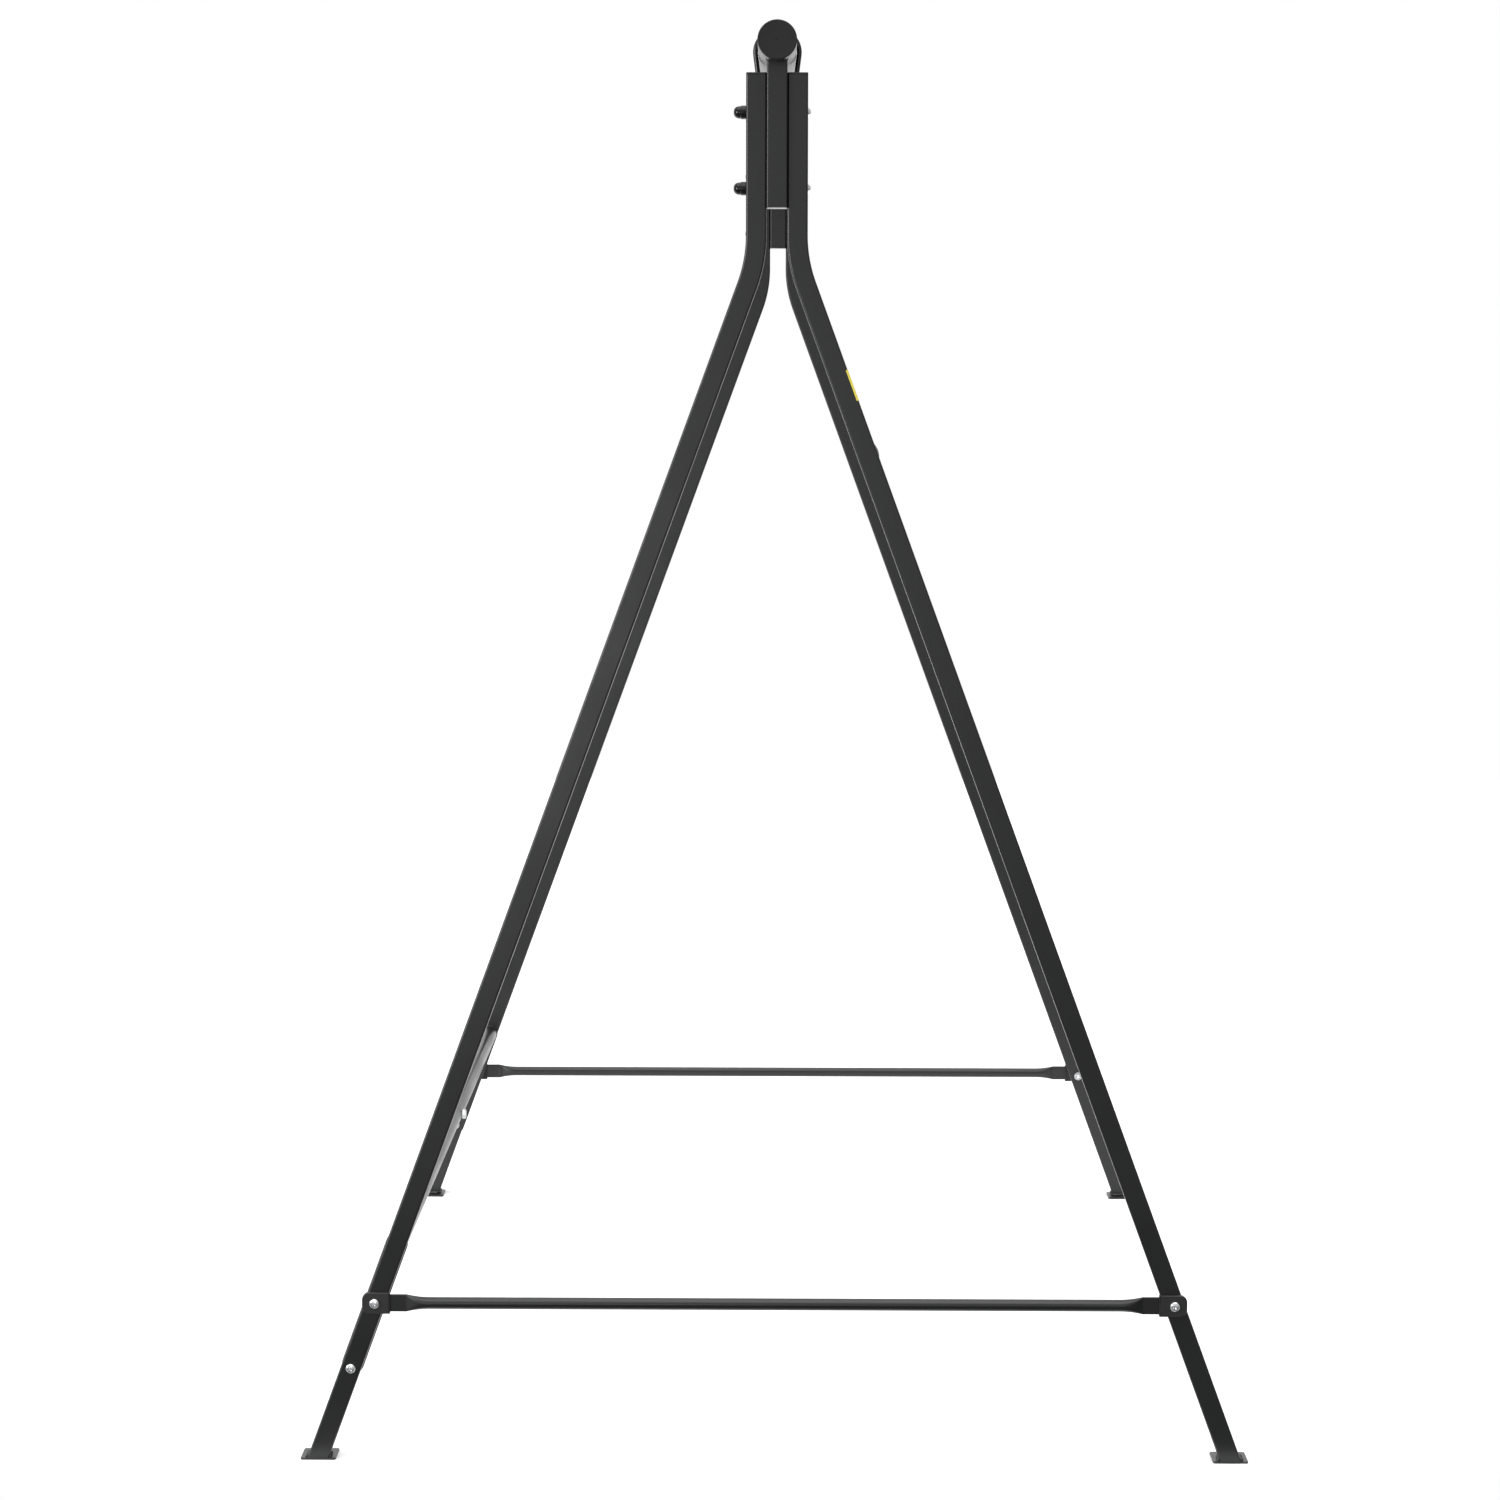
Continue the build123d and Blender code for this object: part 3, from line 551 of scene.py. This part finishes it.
def joined(meshes):
    """Several meshes in one."""
    together = bmesh.new()
    for mesh in meshes:
        together.from_mesh(mesh)
    made = bpy.data.meshes.new("joined")
    together.to_mesh(made)
    together.free()
    return made


out_tree, out_in = new_tree("set_out_parts", part="")
one = node(out_tree, "GeometryNodeObjectInfo", {"Object": out_in["Part"], "As Instance": True})
facing = node(out_tree, "GeometryNodeInputNamedAttribute", {"Name": "turn"}, data_type="FLOAT_VECTOR")
spread = node(
    out_tree, "GeometryNodeInstanceOnPoints",
    {"Points": out_in["Geometry"], "Instance": one.outputs["Geometry"], "Rotation": facing.outputs[0]},
)
end_tree(out_tree, spread.outputs[0], out_in["Material"])

low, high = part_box("crossbar_sleeves")
bar_z = (low.z + high.z) / 2
sleeve_thick = high.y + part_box("leg_front_right")[0].y
sleeve_y = high.y - sleeve_thick / 2
sleeve_outer, sleeve_inner = high.x - bolt_x, 0.0194
sleeve_half = (high.z - low.z) / 2
sleeve_corner, inner_corner, sleeve_edge = 0.009, 0.0012, 0.0011
lip_width, lip_corner, lip_edge = 0.0022, 0.0008, 0.0006
sleeve_rings = []
for step in (0, 1, 2, 3, 3, 2, 1, 0):
    angle = step / 3 * pi / 2
    inset = sleeve_edge * (1 - sin(angle))
    depth = sleeve_edge * (1 - cos(angle))
    front = len(sleeve_rings) < 4
    level_y = -sleeve_thick / 2 + depth if front else sleeve_thick / 2 - depth
    ring = []
    for quarter in range(4):
        outer = quarter in (0, 3)
        corner = sleeve_corner - inset if outer else inner_corner - inset / 2
        reach = (sleeve_outer if outer else sleeve_inner) - inset
        sx, sz = (1 if outer else -1), (1 if quarter < 2 else -1)
        for k in range(9):
            a = (quarter + k / 8) * pi / 2
            ring.append((
                sx * (reach - corner) + corner * cos(a), level_y,
                sz * (sleeve_half - inset - corner) + corner * sin(a),
            ))
    sleeve_rings.append(ring)
lip = slab(lip_width, sleeve_half * 2, lip_corner, -sleeve_thick / 2, sleeve_thick / 2, lip_edge)
lip.transform(Matrix.Translation((lip_width / 2 - sleeve_inner, 0, 0)) @ Matrix.Rotation(pi / 2, 4, "X"))
spots = [
    ((side * bolt_x, end * sleeve_y, bar_z), (0, 0, 0 if side > 0 else pi))
    for end in (-1, 1) for side in (-1, 1)
]
sleeves = set_out(out_tree, places(spots), joined([stacked(sleeve_rings), lip]), plug_plastic)
piece("crossbar_end_sleeves", [sleeves], plug_plastic, replaced=["crossbar_sleeves"])


# Small bolts, washers and nuts. Zinc-plated M6 pan-head bolts with a cross recess hold the
# crossbars, and one more holds the low bar's plate to each left leg; nuts are on the inner side.
def zinc(name, tint, low_gloss, high_gloss):
    """Zinc plating, slightly cloudy, on turned and cold-headed steel."""
    dark = [0.9 * channel for channel in tint]
    made, tree, place, _ = surface(name, dark, tint, low_gloss, high_gloss, 420.0)
    tree.nodes["Principled BSDF"].inputs["Metallic"].default_value = 1
    marks = node(tree, "ShaderNodeTexNoise", {"Vector": place, "Scale": 2600.0, "Detail": 2.0}).outputs[0]
    relief(tree, marks, 0.000012)
    return made


def hexagon(flats):
    """Radius of a hexagon at each angle, from its width across flats."""
    return lambda angle: flats / 2 / cos((angle + pi / 6) % (pi / 3) - pi / 6)


def nut(flats, height, bore, edge=0.0005):
    """A hexagon nut with both faces chamfered, standing on z = 0."""
    reach, face_radius = hexagon(flats), flats * 0.485
    drop = lambda angle: (reach(angle) - face_radius) * 0.5
    return turned([
        (bore, edge), (bore + edge, 0), (face_radius, 0), lambda a: (reach(a), drop(a)),
        lambda a: (reach(a), height - drop(a)), (face_radius, height),
        (bore + edge, height), (bore, height - edge),
    ])


def washer(radius, bore, height, edge=0.0003):
    """A flat washer with its punched edges slightly rounded."""
    return turned([
        (bore, edge), (bore + edge, 0), (radius - edge, 0), (radius, edge),
        (radius, height - edge), (radius - edge, height), (bore + edge, height), (bore, height - edge),
    ])


thread_tree, thread_in = new_tree("thread", core=0.0026, pitch=0.001, turns=6.0)
rise = node(
    thread_tree, "ShaderNodeMath", {0: thread_in["Turns"], 1: thread_in["Pitch"]}, operation="MULTIPLY",
)
helix = node(
    thread_tree, "GeometryNodeCurveSpiral",
    {
        "Resolution": 24, "Rotations": thread_in["Turns"], "Start Radius": thread_in["Core"],
        "End Radius": thread_in["Core"], "Height": rise.outputs[0],
    },
)
ridge_size = node(thread_tree, "ShaderNodeMath", {0: thread_in["Pitch"], 1: 0.42}, operation="MULTIPLY")
ridge_face = node(
    thread_tree, "GeometryNodeCurvePrimitiveCircle", {"Resolution": 4, "Radius": ridge_size.outputs[0]},
)
ridge = node(
    thread_tree, "GeometryNodeCurveToMesh",
    {"Curve": helix.outputs[0], "Profile Curve": ridge_face.outputs[0], "Fill Caps": True},
)
end_tree(thread_tree, ridge.outputs[0], thread_in["Material"])


def shank(radius, length, pitch, threaded):
    """A bolt's shank below z = 0, threaded over the last part of its length."""
    core, taper = radius - 0.45 * pitch, 0.0004
    plain = turned([
        (0, 0), (radius, 0), (radius, -length + threaded), (core, -length + threaded - taper),
        (core, -length + taper), (core - taper, -length), (0, -length),
    ], 32)
    ridges = grown(
        thread_tree, bpy.data.meshes.new("start"), bright_zinc, core=core, pitch=pitch,
        turns=(threaded - 2.2 * pitch) / pitch,
    )
    return [plain, placed(ridges, Matrix.Translation((0, 0, -length + 0.7 * pitch)))]


bright_zinc = zinc("bright_zinc", (0.86, 0.87, 0.89), 0.16, 0.28)
dull_zinc = zinc("dull_zinc", (0.50, 0.51, 0.52), 0.28, 0.42)
head_radius, head_height, head_round, head_crown = 0.006, 0.0039, 0.0016, 0.0003
head = [(0, 0), (head_radius, 0), (head_radius, head_height - head_round)]
for step in range(1, 6):
    angle = step / 5 * pi / 2
    level_z = head_height - head_round * (1 - sin(angle)) - head_crown
    head.append((head_radius - head_round * (1 - cos(angle)), level_z))
head += [(head_radius * 0.4, head_height - 0.00005), (0, head_height)]
recess_reach, recess_waist, recess_depth, recess_top = 0.0036, 0.0013, 0.0027, head_height + 0.0004
on_wing = lambda angle: abs((angle + pi / 4) % (pi / 2) - pi / 4) < 0.3
cross = lambda angle: (recess_reach if on_wing(angle) else recess_waist, recess_top)
recess = turned([(0, head_height - recess_depth), cross, (0, recess_top)])
pan_head = placed(carved(turned(head, 40), [recess]), Matrix.Rotation(radians(28), 4, "Z"))

small_radius, small_pitch, small_thread = 0.003, 0.001, 0.014
washer_radius, washer_bore, washer_height = 0.0064, 0.00325, 0.0016
small_flats, small_bore, nut_height = 0.010, 0.00305, 0.005
thread_end, plate_behind = 0.002, 0.003
for family, sides in (("crossbar", (-1, 1)), ("lower", (-1,))):
    bolt_low, bolt_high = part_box(f"{family}_bolts")
    fix_z = (bolt_low.z + bolt_high.z) / 2
    fix_x = leg_centre(fix_z)
    head_face = bolt_high.y - head_height
    bolts = []
    for side in sides:
        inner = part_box("leg_rear_left")[0].y - (plate_behind if side < 0 else 0)
        reach_in = head_face - inner + washer_height + nut_height + thread_end
        bolt_mesh = joined([pan_head, *shank(small_radius, reach_in, small_pitch, small_thread)])
        heads = [((side * fix_x, end * head_face, fix_z), (-end * pi / 2, 0, 0)) for end in (-1, 1)]
        bolts.append(set_out(out_tree, places(heads), bolt_mesh, bright_zinc))
    piece(f"{family}_pan_bolts", bolts, bright_zinc, replaced=[f"{family}_bolts"])
    fix_washers, fix_nuts = [], []
    for end in (-1, 1):
        for side in sides:
            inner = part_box("leg_rear_left")[0].y - (plate_behind if side < 0 else 0)
            fix_washers.append(((side * fix_x, end * inner, fix_z), (end * pi / 2, 0, 0)))
            fix_nuts.append(((side * fix_x, end * (inner - washer_height), fix_z), (end * pi / 2, 0, 0)))
    flat_ring = washer(washer_radius, washer_bore, washer_height)
    flat_rings = set_out(out_tree, places(fix_washers), flat_ring, dull_zinc)
    piece(f"{family}_flat_washers", [flat_rings], dull_zinc, replaced=[f"{family}_washers"])
    small_nut = nut(small_flats, nut_height, small_bore)
    hex_nuts = set_out(out_tree, places(fix_nuts), small_nut, dull_zinc)
    piece(f"{family}_hex_nuts", [hex_nuts], dull_zinc, replaced=[f"{family}_nuts"], sharp=25)


# Low bar. Two round steel tubes, coated black, meet on the left side: the front one is reduced
# to slide into the rear one. Each outer end is welded to a flat plate behind a left leg.
def hollow(radius, wall, low, high, edge=0.0007):
    """A straight round tube along Z with its rims slightly rounded."""
    bore, shoulder, collar = radius - wall, edge * 0.3, 0.004
    return turned([
        (bore, low + edge), (bore + edge, low), (radius - edge, low),
        (radius - shoulder, low + shoulder), (radius, low + edge),
        (radius, low + collar), (radius, high - collar),
        (radius, high - edge), (radius - shoulder, high - shoulder),
        (radius - edge, high), (bore + edge, high), (bore, high - edge),
    ], 64)


def ring_path(radius, x, y, z, steps=48):
    """Points of a circle about a line along Y."""
    angles = [2 * pi * k / steps for k in range(steps)]
    return [(x + radius * cos(angle), y, z + radius * sin(angle)) for angle in angles]


along_y = Matrix.Rotation(-pi / 2, 4, "X")
low_wall, plate_width, plate_edge, bar_weld_gap, bar_weld_size = 0.0015, 0.028, 0.0005, 0.0002, 0.0010
for end_name, end in (("front", -1), ("rear", 1)):
    low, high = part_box(f"low_bar_{end_name}")
    seam_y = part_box("low_bar_rear")[0].y
    start, stop = (low.y, seam_y) if end < 0 else (seam_y, high.y)
    low_radius, low_x, low_z = (high.x - low.x) / 2, (low.x + high.x) / 2, (low.z + high.z) / 2
    tube_mesh = placed(
        hollow(low_radius, low_wall, start, stop), Matrix.Translation((low_x, 0, low_z)) @ along_y,
    )
    plate_low, plate_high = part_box(f"low_bar_plate_{end_name}")
    plate_thick = plate_high.y - plate_low.y
    plate_run = plate_high.x - plate_low.x - plate_width
    plate_rise = plate_high.z - plate_low.z - plate_width
    tilt = atan2(plate_run, plate_rise)
    length = hypot(plate_run, plate_rise) + plate_width
    blank = slab(
        plate_width, length, plate_width / 2, -plate_thick / 2, plate_thick / 2, plate_edge, steps=10,
    )
    centre = Matrix.Translation((plate_low + plate_high) / 2)
    blank = placed(blank, centre @ Matrix.Rotation(tilt, 4, "Y") @ Matrix.Rotation(pi / 2, 4, "X"))
    weld_y = plate_high.y if end < 0 else plate_low.y
    around = ring_path(low_radius + bar_weld_gap, low_x, weld_y, low_z)
    ring = grown(weld_tree, line(around, True), steel_black, size=bar_weld_size)
    piece(
        f"low_bar_{end_name}_tube", [tube_mesh], steel_black,
        replaced=[f"low_bar_{end_name}"],
    )
    piece(
        f"low_bar_plate_{end_name}_blank", [blank, ring], steel_black,
        replaced=[f"low_bar_plate_{end_name}"],
    )


# Low bar joint. A zinc-plated hexagon bolt passes through both tubes just behind the seam, with
# its head on the inner side and a plain nut on the outer side.
low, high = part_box("low_bar_joint_bolt")
nut_low, nut_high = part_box("low_bar_joint_nut")
bolt_radius, bolt_pitch, nut_bore, joint_thread = 0.004, 0.00125, 0.00405, 0.018
flats, hex_height, hex_foot, hex_dish, dish_edge = high.y - low.y, 0.0055, 0.0003, 0.0002, 0.0006
reach, face_radius = hexagon(flats), flats * 0.475
hex_head = turned([
    (0, 0), (face_radius, 0), lambda a: (reach(a), hex_foot),
    lambda a: (reach(a), hex_height - (reach(a) - face_radius) * 0.55),
    (face_radius, hex_height), (face_radius - dish_edge, hex_height - hex_dish),
    (0, hex_height - hex_dish),
])
middle = (low + high) / 2
grip = high.x - hex_height - low.x
stem = joined([hex_head, *shank(bolt_radius, grip, bolt_pitch, joint_thread)])
to_right = Matrix.Rotation(pi / 2, 4, "Y")
joint_bolt = placed(stem, Matrix.Translation((high.x - hex_height, middle.y, middle.z)) @ to_right)
piece("low_bar_hex_bolt", [joint_bolt], dull_zinc, replaced=["low_bar_joint_bolt"], sharp=25)
joint_nut = placed(
    nut(flats, nut_high.x - nut_low.x, nut_bore),
    Matrix.Translation((nut_low.x, middle.y, middle.z)) @ to_right,
)
piece("low_bar_hex_nut", [joint_nut], dull_zinc, replaced=["low_bar_joint_nut"], sharp=25)


# Top beam. A plain round middle tube and two end pieces that slide into it. A rectangular post
# is welded under each end piece, and the whole is coated black.
low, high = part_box("beam_middle")
beam_radius, beam_z, beam_seam = (high.x - low.x) / 2, (low.z + high.z) / 2, high.y
beam_wall, post_inside = 0.0018, 0.8
post_width, post_depth, post_corner = 0.0254, 0.040, 0.002
saddle_corner, saddle_weld_size = 0.0025, 0.0012
at_beam = Matrix.Translation((0, 0, beam_z)) @ along_y
middle_tube = placed(hollow(beam_radius, beam_wall, -beam_seam, beam_seam), at_beam)
piece("beam_middle_tube", [middle_tube], steel_black, replaced=["beam_middle"])
for end_name, end in (("front", -1), ("rear", 1)):
    low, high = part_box(f"beam_end_{end_name}")
    outer_end = high.y if end > 0 else low.y
    start, stop = sorted((end * beam_seam, outer_end))
    shell = placed(hollow(beam_radius, beam_wall, start, stop), at_beam)
    post_y = sum(corner.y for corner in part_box(f"leg_{end_name}_left")) / 2
    post_path = line([(0, post_y, low.z), (0, post_y, beam_z - beam_radius * post_inside)])
    post = grown(bar_tree, post_path, steel_black, width=post_depth, depth=post_width, corner=post_corner)
    saddle = [
        (x, post_y + y, beam_z - sqrt(beam_radius ** 2 - x ** 2))
        for x, y in outline(post_width, post_depth, saddle_corner, 4)
    ]
    saddle_weld = grown(weld_tree, line(saddle, True), steel_black, size=saddle_weld_size)
    piece(
        f"beam_end_{end_name}_weldment", [shell, post, saddle_weld], steel_black,
        replaced=[f"beam_end_{end_name}"],
    )


# Beam joint screws. A zinc-plated round-head screw pins each beam joint from above.
low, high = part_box("beam_joint_screws")
screw_radius, screw_height, screw_rim, screw_turn = (high.x - low.x) / 2, 0.0032, 0.0006, 0.4
screw = [(0, 0), (screw_radius, 0), (screw_radius, screw_rim)]
for k in range(1, 6):
    angle = k / 6 * pi / 2
    screw.append((screw_radius * cos(angle), screw_rim + (screw_height - screw_rim) * sin(angle)))
screw += [(0, screw_height)]
slot_length, slot_width, slot_depth, slot_corner, slot_edge = 0.0056, 0.0012, 0.0016, 0.0003, 0.0002
slots = [slab(
    slot_length, slot_width, slot_corner, screw_height - slot_depth, screw_height + 0.002, slot_edge,
)]
slots.append(placed(slots[0], Matrix.Rotation(pi / 2, 4, "Z")))
shank_radius, shank_length, shank_pitch, shank_thread = 0.0025, 0.008, 0.0016, 0.007
screw_stem = shank(shank_radius, shank_length, shank_pitch, shank_thread)
screw_head = joined([carved(turned(screw, 40), slots), *screw_stem])
screw_y = high.y - screw_radius
tops = [((0, end * screw_y, high.z - screw_height), (0, 0, screw_turn * end)) for end in (-1, 1)]
screws = set_out(out_tree, places(tops), screw_head, bright_zinc)
piece("beam_pin_screws", [screws], bright_zinc, replaced=["beam_joint_screws"])


# Beam caps and post plugs. Black plastic: a round cap with a flat face and a rounded rim closes
# each end of the beam, and a rectangular plug closes the foot of each post.
cap_plastic = grained_plastic("beam_cap_plastic", (0.0075, 0.0075, 0.0075), 0.52, 0.00004)
cap_plastic.node_tree.nodes["Principled BSDF"].inputs["Specular IOR Level"].default_value = 0.32
for end_name, end in (("front", -1), ("rear", 1)):
    low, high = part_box(f"beam_cap_{end_name}")
    flange, rim, cap_inside = 0.003, 0.0014, 0.012
    cap_fit = beam_radius - beam_wall - 0.0003
    face_sunk, gate_sunk = flange - 0.00025, flange - 0.0006
    face_y = low.y if end < 0 else high.y
    cap = [(0, -cap_inside), (cap_fit, -cap_inside), (cap_fit, 0), (beam_radius, 0)]
    cap.append((beam_radius, flange - rim))
    for k in range(1, 6):
        angle = k / 5 * pi / 2
        cap.append((beam_radius - rim * (1 - cos(angle)), flange - rim * (1 - sin(angle))))
    cap += [
        (beam_radius - rim - 0.0009, flange), (beam_radius - rim - 0.0013, face_sunk),
        (0.0016, face_sunk), (0.0013, gate_sunk), (0, gate_sunk),
    ]
    outward = Matrix.Rotation(-end * pi / 2, 4, "X")
    disc = placed(turned(cap, 72), Matrix.Translation((0, face_y - end * flange, beam_z)) @ outward)
    piece(
        f"beam_cap_{end_name}_disc", [disc], cap_plastic,
        replaced=[f"beam_cap_{end_name}"],
    )
low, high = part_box("post_plugs")
post_plugs, post_plug_thick, post_plug_edge = [], 0.002, 0.0006
for end_name, end in (("front", -1), ("rear", 1)):
    post_y = sum(corner.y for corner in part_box(f"leg_{end_name}_left")) / 2
    plug = slab(post_width, post_depth, post_corner, low.z, low.z + post_plug_thick, post_plug_edge)
    post_plugs.append(placed(plug, Matrix.Translation((0, post_y, 0))))
gate_plastic = grained_plastic("smooth_black_plastic", (0.0090, 0.0090, 0.0090), 0.22, 0.000012)
piece("post_end_plugs", post_plugs, gate_plastic, replaced=["post_plugs"])


# Through bolts. Zinc-plated button-head bolts pass through leg, post and leg, two at each end,
# with their heads on the right and their nuts on the left.
low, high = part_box("through_bolts")
nut_low, nut_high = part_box("through_nuts")
button_radius, button_height, button_foot = 0.007, 0.0044, 0.0002
socket_flats, socket_depth, socket_rim, rim_drop = 0.005, 0.0026, 0.0027, 0.0004
through_thread, through_flats = 0.02, 0.013
levels = [high.z - button_radius, low.z + button_radius]
sphere = (button_radius ** 2 + button_height ** 2) / (2 * button_height)
button = [(0, 0), (button_radius - button_foot, 0), (button_radius, button_foot)]
for step in range(1, 8):
    radius = button_radius * (1 - step / 8 * 0.58)
    button.append((radius, button_height - sphere + sqrt(sphere ** 2 - radius ** 2)))
button += [(socket_rim, button_height - rim_drop), (0, button_height - rim_drop)]
socket_reach, socket_floor, socket_top = hexagon(socket_flats), button_height - socket_depth, 0.01
socket = turned([
    (0, socket_floor), lambda a: (socket_reach(a), socket_floor),
    lambda a: (socket_reach(a), socket_top), (0, socket_top),
], 24)
button_head = carved(turned(button, 48), [socket])
grip = high.x - button_height - low.x
long_bolt = joined([button_head, *shank(bolt_radius, grip, bolt_pitch, through_thread)])
frame_y = sum(corner.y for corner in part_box("leg_rear_left")) / 2
heads = [((high.x - button_height, end * frame_y, z), (0, pi / 2, 0)) for end in (-1, 1) for z in levels]
through = set_out(out_tree, places(heads), long_bolt, bright_zinc)
piece("through_button_bolts", [through], bright_zinc, replaced=["through_bolts"])
seats = [((nut_high.x, end * frame_y, z), (0, -pi / 2, 0)) for end in (-1, 1) for z in levels]
through_nut = nut(through_flats, nut_high.x - nut_low.x, nut_bore)
through_nuts = set_out(out_tree, places(seats), through_nut, dull_zinc)
piece("through_hex_nuts", [through_nuts], dull_zinc, replaced=["through_nuts"], sharp=25)


# Nut caps. A black plastic cover is pressed over each through bolt's nut: a round skirt with a
# chamfered shoulder, and a dome, nearly as wide, that clears the end of the bolt.
skirt_radius, skirt_height, skirt_wall, skirt_edge = 0.0084, 0.0068, 0.0012, 0.0003
dome_radius, dome_rise, hollow_depth = 0.0076, 0.0012, 0.002
cap_low, cap_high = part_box("nut_caps")
full_height = cap_high.x - cap_low.x
cover = [
    (0, hollow_depth), (skirt_radius - skirt_wall, hollow_depth), (skirt_radius - skirt_wall, 0),
    (skirt_radius - skirt_edge, 0), (skirt_radius, skirt_edge),
    (skirt_radius, skirt_height - 0.0011), (skirt_radius - 0.0001, skirt_height - 0.0009),
    (dome_radius, skirt_height), (dome_radius, skirt_height + dome_rise),
]
bulge = full_height - skirt_height - dome_rise
for k in range(1, 10):
    angle = k / 10 * pi / 2
    cover.append((dome_radius * cos(angle) ** 0.75, skirt_height + dome_rise + bulge * sin(angle)))
cover.append((0, full_height))
glossy_plastic = grained_plastic("glossy_black_plastic", (0.0040, 0.0040, 0.0040), 0.11, 0.0000015)
glossy_plastic.node_tree.nodes["Principled BSDF"].inputs["Specular IOR Level"].default_value = 0.3
covers = set_out(out_tree, places(seats), turned(cover, 40), glossy_plastic)
piece("nut_cover_caps", [covers], glossy_plastic, replaced=["nut_caps"])


# Hangers. Each is one length of round steel rod bent into a pear-shaped loop round the beam and
# butt-welded, black-coated. The swing's chain hooks into the small eye below.
rod_tree, rod_in = new_tree("bent_round_rod", rod_radius=0.0032, weld_swell=0.12, weld_width=0.004)
rod_run = node(rod_tree, "GeometryNodeMeshToCurve", {0: rod_in["Geometry"]})
rod_along = node(rod_tree, "GeometryNodeSplineParameter")
near_weld = node(
    rod_tree, "ShaderNodeMapRange",
    {0: rod_along.outputs["Length"], 1: 0.0, 2: rod_in["Weld width"], 3: rod_in["Weld swell"], 4: 0.0},
    interpolation_type="SMOOTHSTEP",
)
grown_by = node(rod_tree, "ShaderNodeMath", {0: near_weld.outputs[0], 1: 1.0}, operation="ADD")
rod_thick = node(
    rod_tree, "ShaderNodeMath", {0: grown_by.outputs[0], 1: rod_in["Rod radius"]}, operation="MULTIPLY",
)
rod_sized = node(
    rod_tree, "GeometryNodeSetCurveRadius", {"Curve": rod_run.outputs[0], "Radius": rod_thick.outputs[0]},
)
rod_face = node(rod_tree, "GeometryNodeCurvePrimitiveCircle", {"Resolution": 20, "Radius": 1.0})
rod = node(
    rod_tree, "GeometryNodeCurveToMesh",
    {"Curve": rod_sized.outputs[0], "Profile Curve": rod_face.outputs[0]},
)
if "Scale" in rod.inputs:
    rod_tree.links.new(rod_thick.outputs[0], rod.inputs["Scale"])
end_tree(rod_tree, rod.outputs[0], rod_in["Material"])

rod_black = powder_coat("glossy_rod_coat", (0.0050, 0.0052, 0.0052), 0.17, 0.25, 0.00003)
eye_radius, crown_steps, eye_steps, side_steps = 0.0128, 48, 24, 40
for end_name in ("front", "rear"):
    low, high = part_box(f"hanger_loop_{end_name}")
    loop_y, rod_radius = (low.y + high.y) / 2, (high.y - low.y) / 2
    wide, small = (high.x - low.x) / 2 - rod_radius, eye_radius
    drop = beam_z - (low.z + rod_radius + small)
    crown_rise = high.z - rod_radius - beam_z
    taper = (wide - small) / drop
    start = -atan2(taper, sqrt(1 - taper ** 2))
    loop = []
    for step in range(crown_steps + 1):
        angle = start + (pi - 2 * start) * step / crown_steps
        loop.append((wide * cos(angle), loop_y, beam_z + crown_rise * sin(angle)))
    for step in range(eye_steps + 1):
        angle = pi - start + (pi + 2 * start) * step / eye_steps
        loop.append((small * cos(angle), loop_y, beam_z - drop + small * sin(angle)))
    right = loop[-1]
    joint = []
    for k in range(1, side_steps):
        x, z = (right[i] + (loop[0][i] - right[i]) * k / side_steps for i in (0, 2))
        joint.append((x, loop_y, z))
    loop = joint[side_steps // 2:] + loop + joint[:side_steps // 2]
    rod_mesh = grown(rod_tree, line(loop, True), rod_black, rod_radius=rod_radius)
    piece(
        f"hanger_loop_{end_name}_rod", [rod_mesh], rod_black, body=f"hanger_{end_name}",
        replaced=[f"hanger_loop_{end_name}"], sharp=60,
    )


# Label and side plug on the front right leg. A plain yellow vinyl label is wrapped round the
# leg's front outer edge, and a low domed black plug fills a hole below it.
vinyl, vinyl_tree, _, vinyl_cloud = surface(
    "yellow_vinyl", (0.74, 0.60, 0.06), (0.86, 0.72, 0.11), 0.32, 0.44, 150.0,
)
relief(vinyl_tree, vinyl_cloud, 0.00008)
nodes["leg_label"].material_slots[0].material = vinyl

low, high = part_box("leg_side_plug")
plug_radius, crown, stem_radius, stem_depth, rim_edge = (high.y - low.y) / 2, 0.0019, 0.0037, 0.004, 0.0002
ball = (plug_radius ** 2 + crown ** 2) / (2 * crown)
button_plug = [(0, -stem_depth), (stem_radius, -stem_depth), (stem_radius, 0)]
button_plug += [(plug_radius - rim_edge, 0), (plug_radius, rim_edge)]
for k in range(1, 8):
    radius = plug_radius * (1 - k / 8)
    button_plug.append((radius, crown - ball + sqrt(ball ** 2 - radius ** 2)))
button_plug += [(0, crown)]
seat_z = (low.z + high.z) / 2 - crown * sin(lean) / 2
seat_x = leg_centre(seat_z - leg_size / 2 * sin(lean)) + leg_size / 2 * cos(lean)
side_plug = placed(
    turned(button_plug, 48),
    Matrix.Translation((seat_x, (low.y + high.y) / 2, seat_z)) @ Matrix.Rotation(pi / 2 - lean, 4, "Y"),
)
piece("leg_side_button_plug", [side_plug], plug_plastic, replaced=["leg_side_plug"])
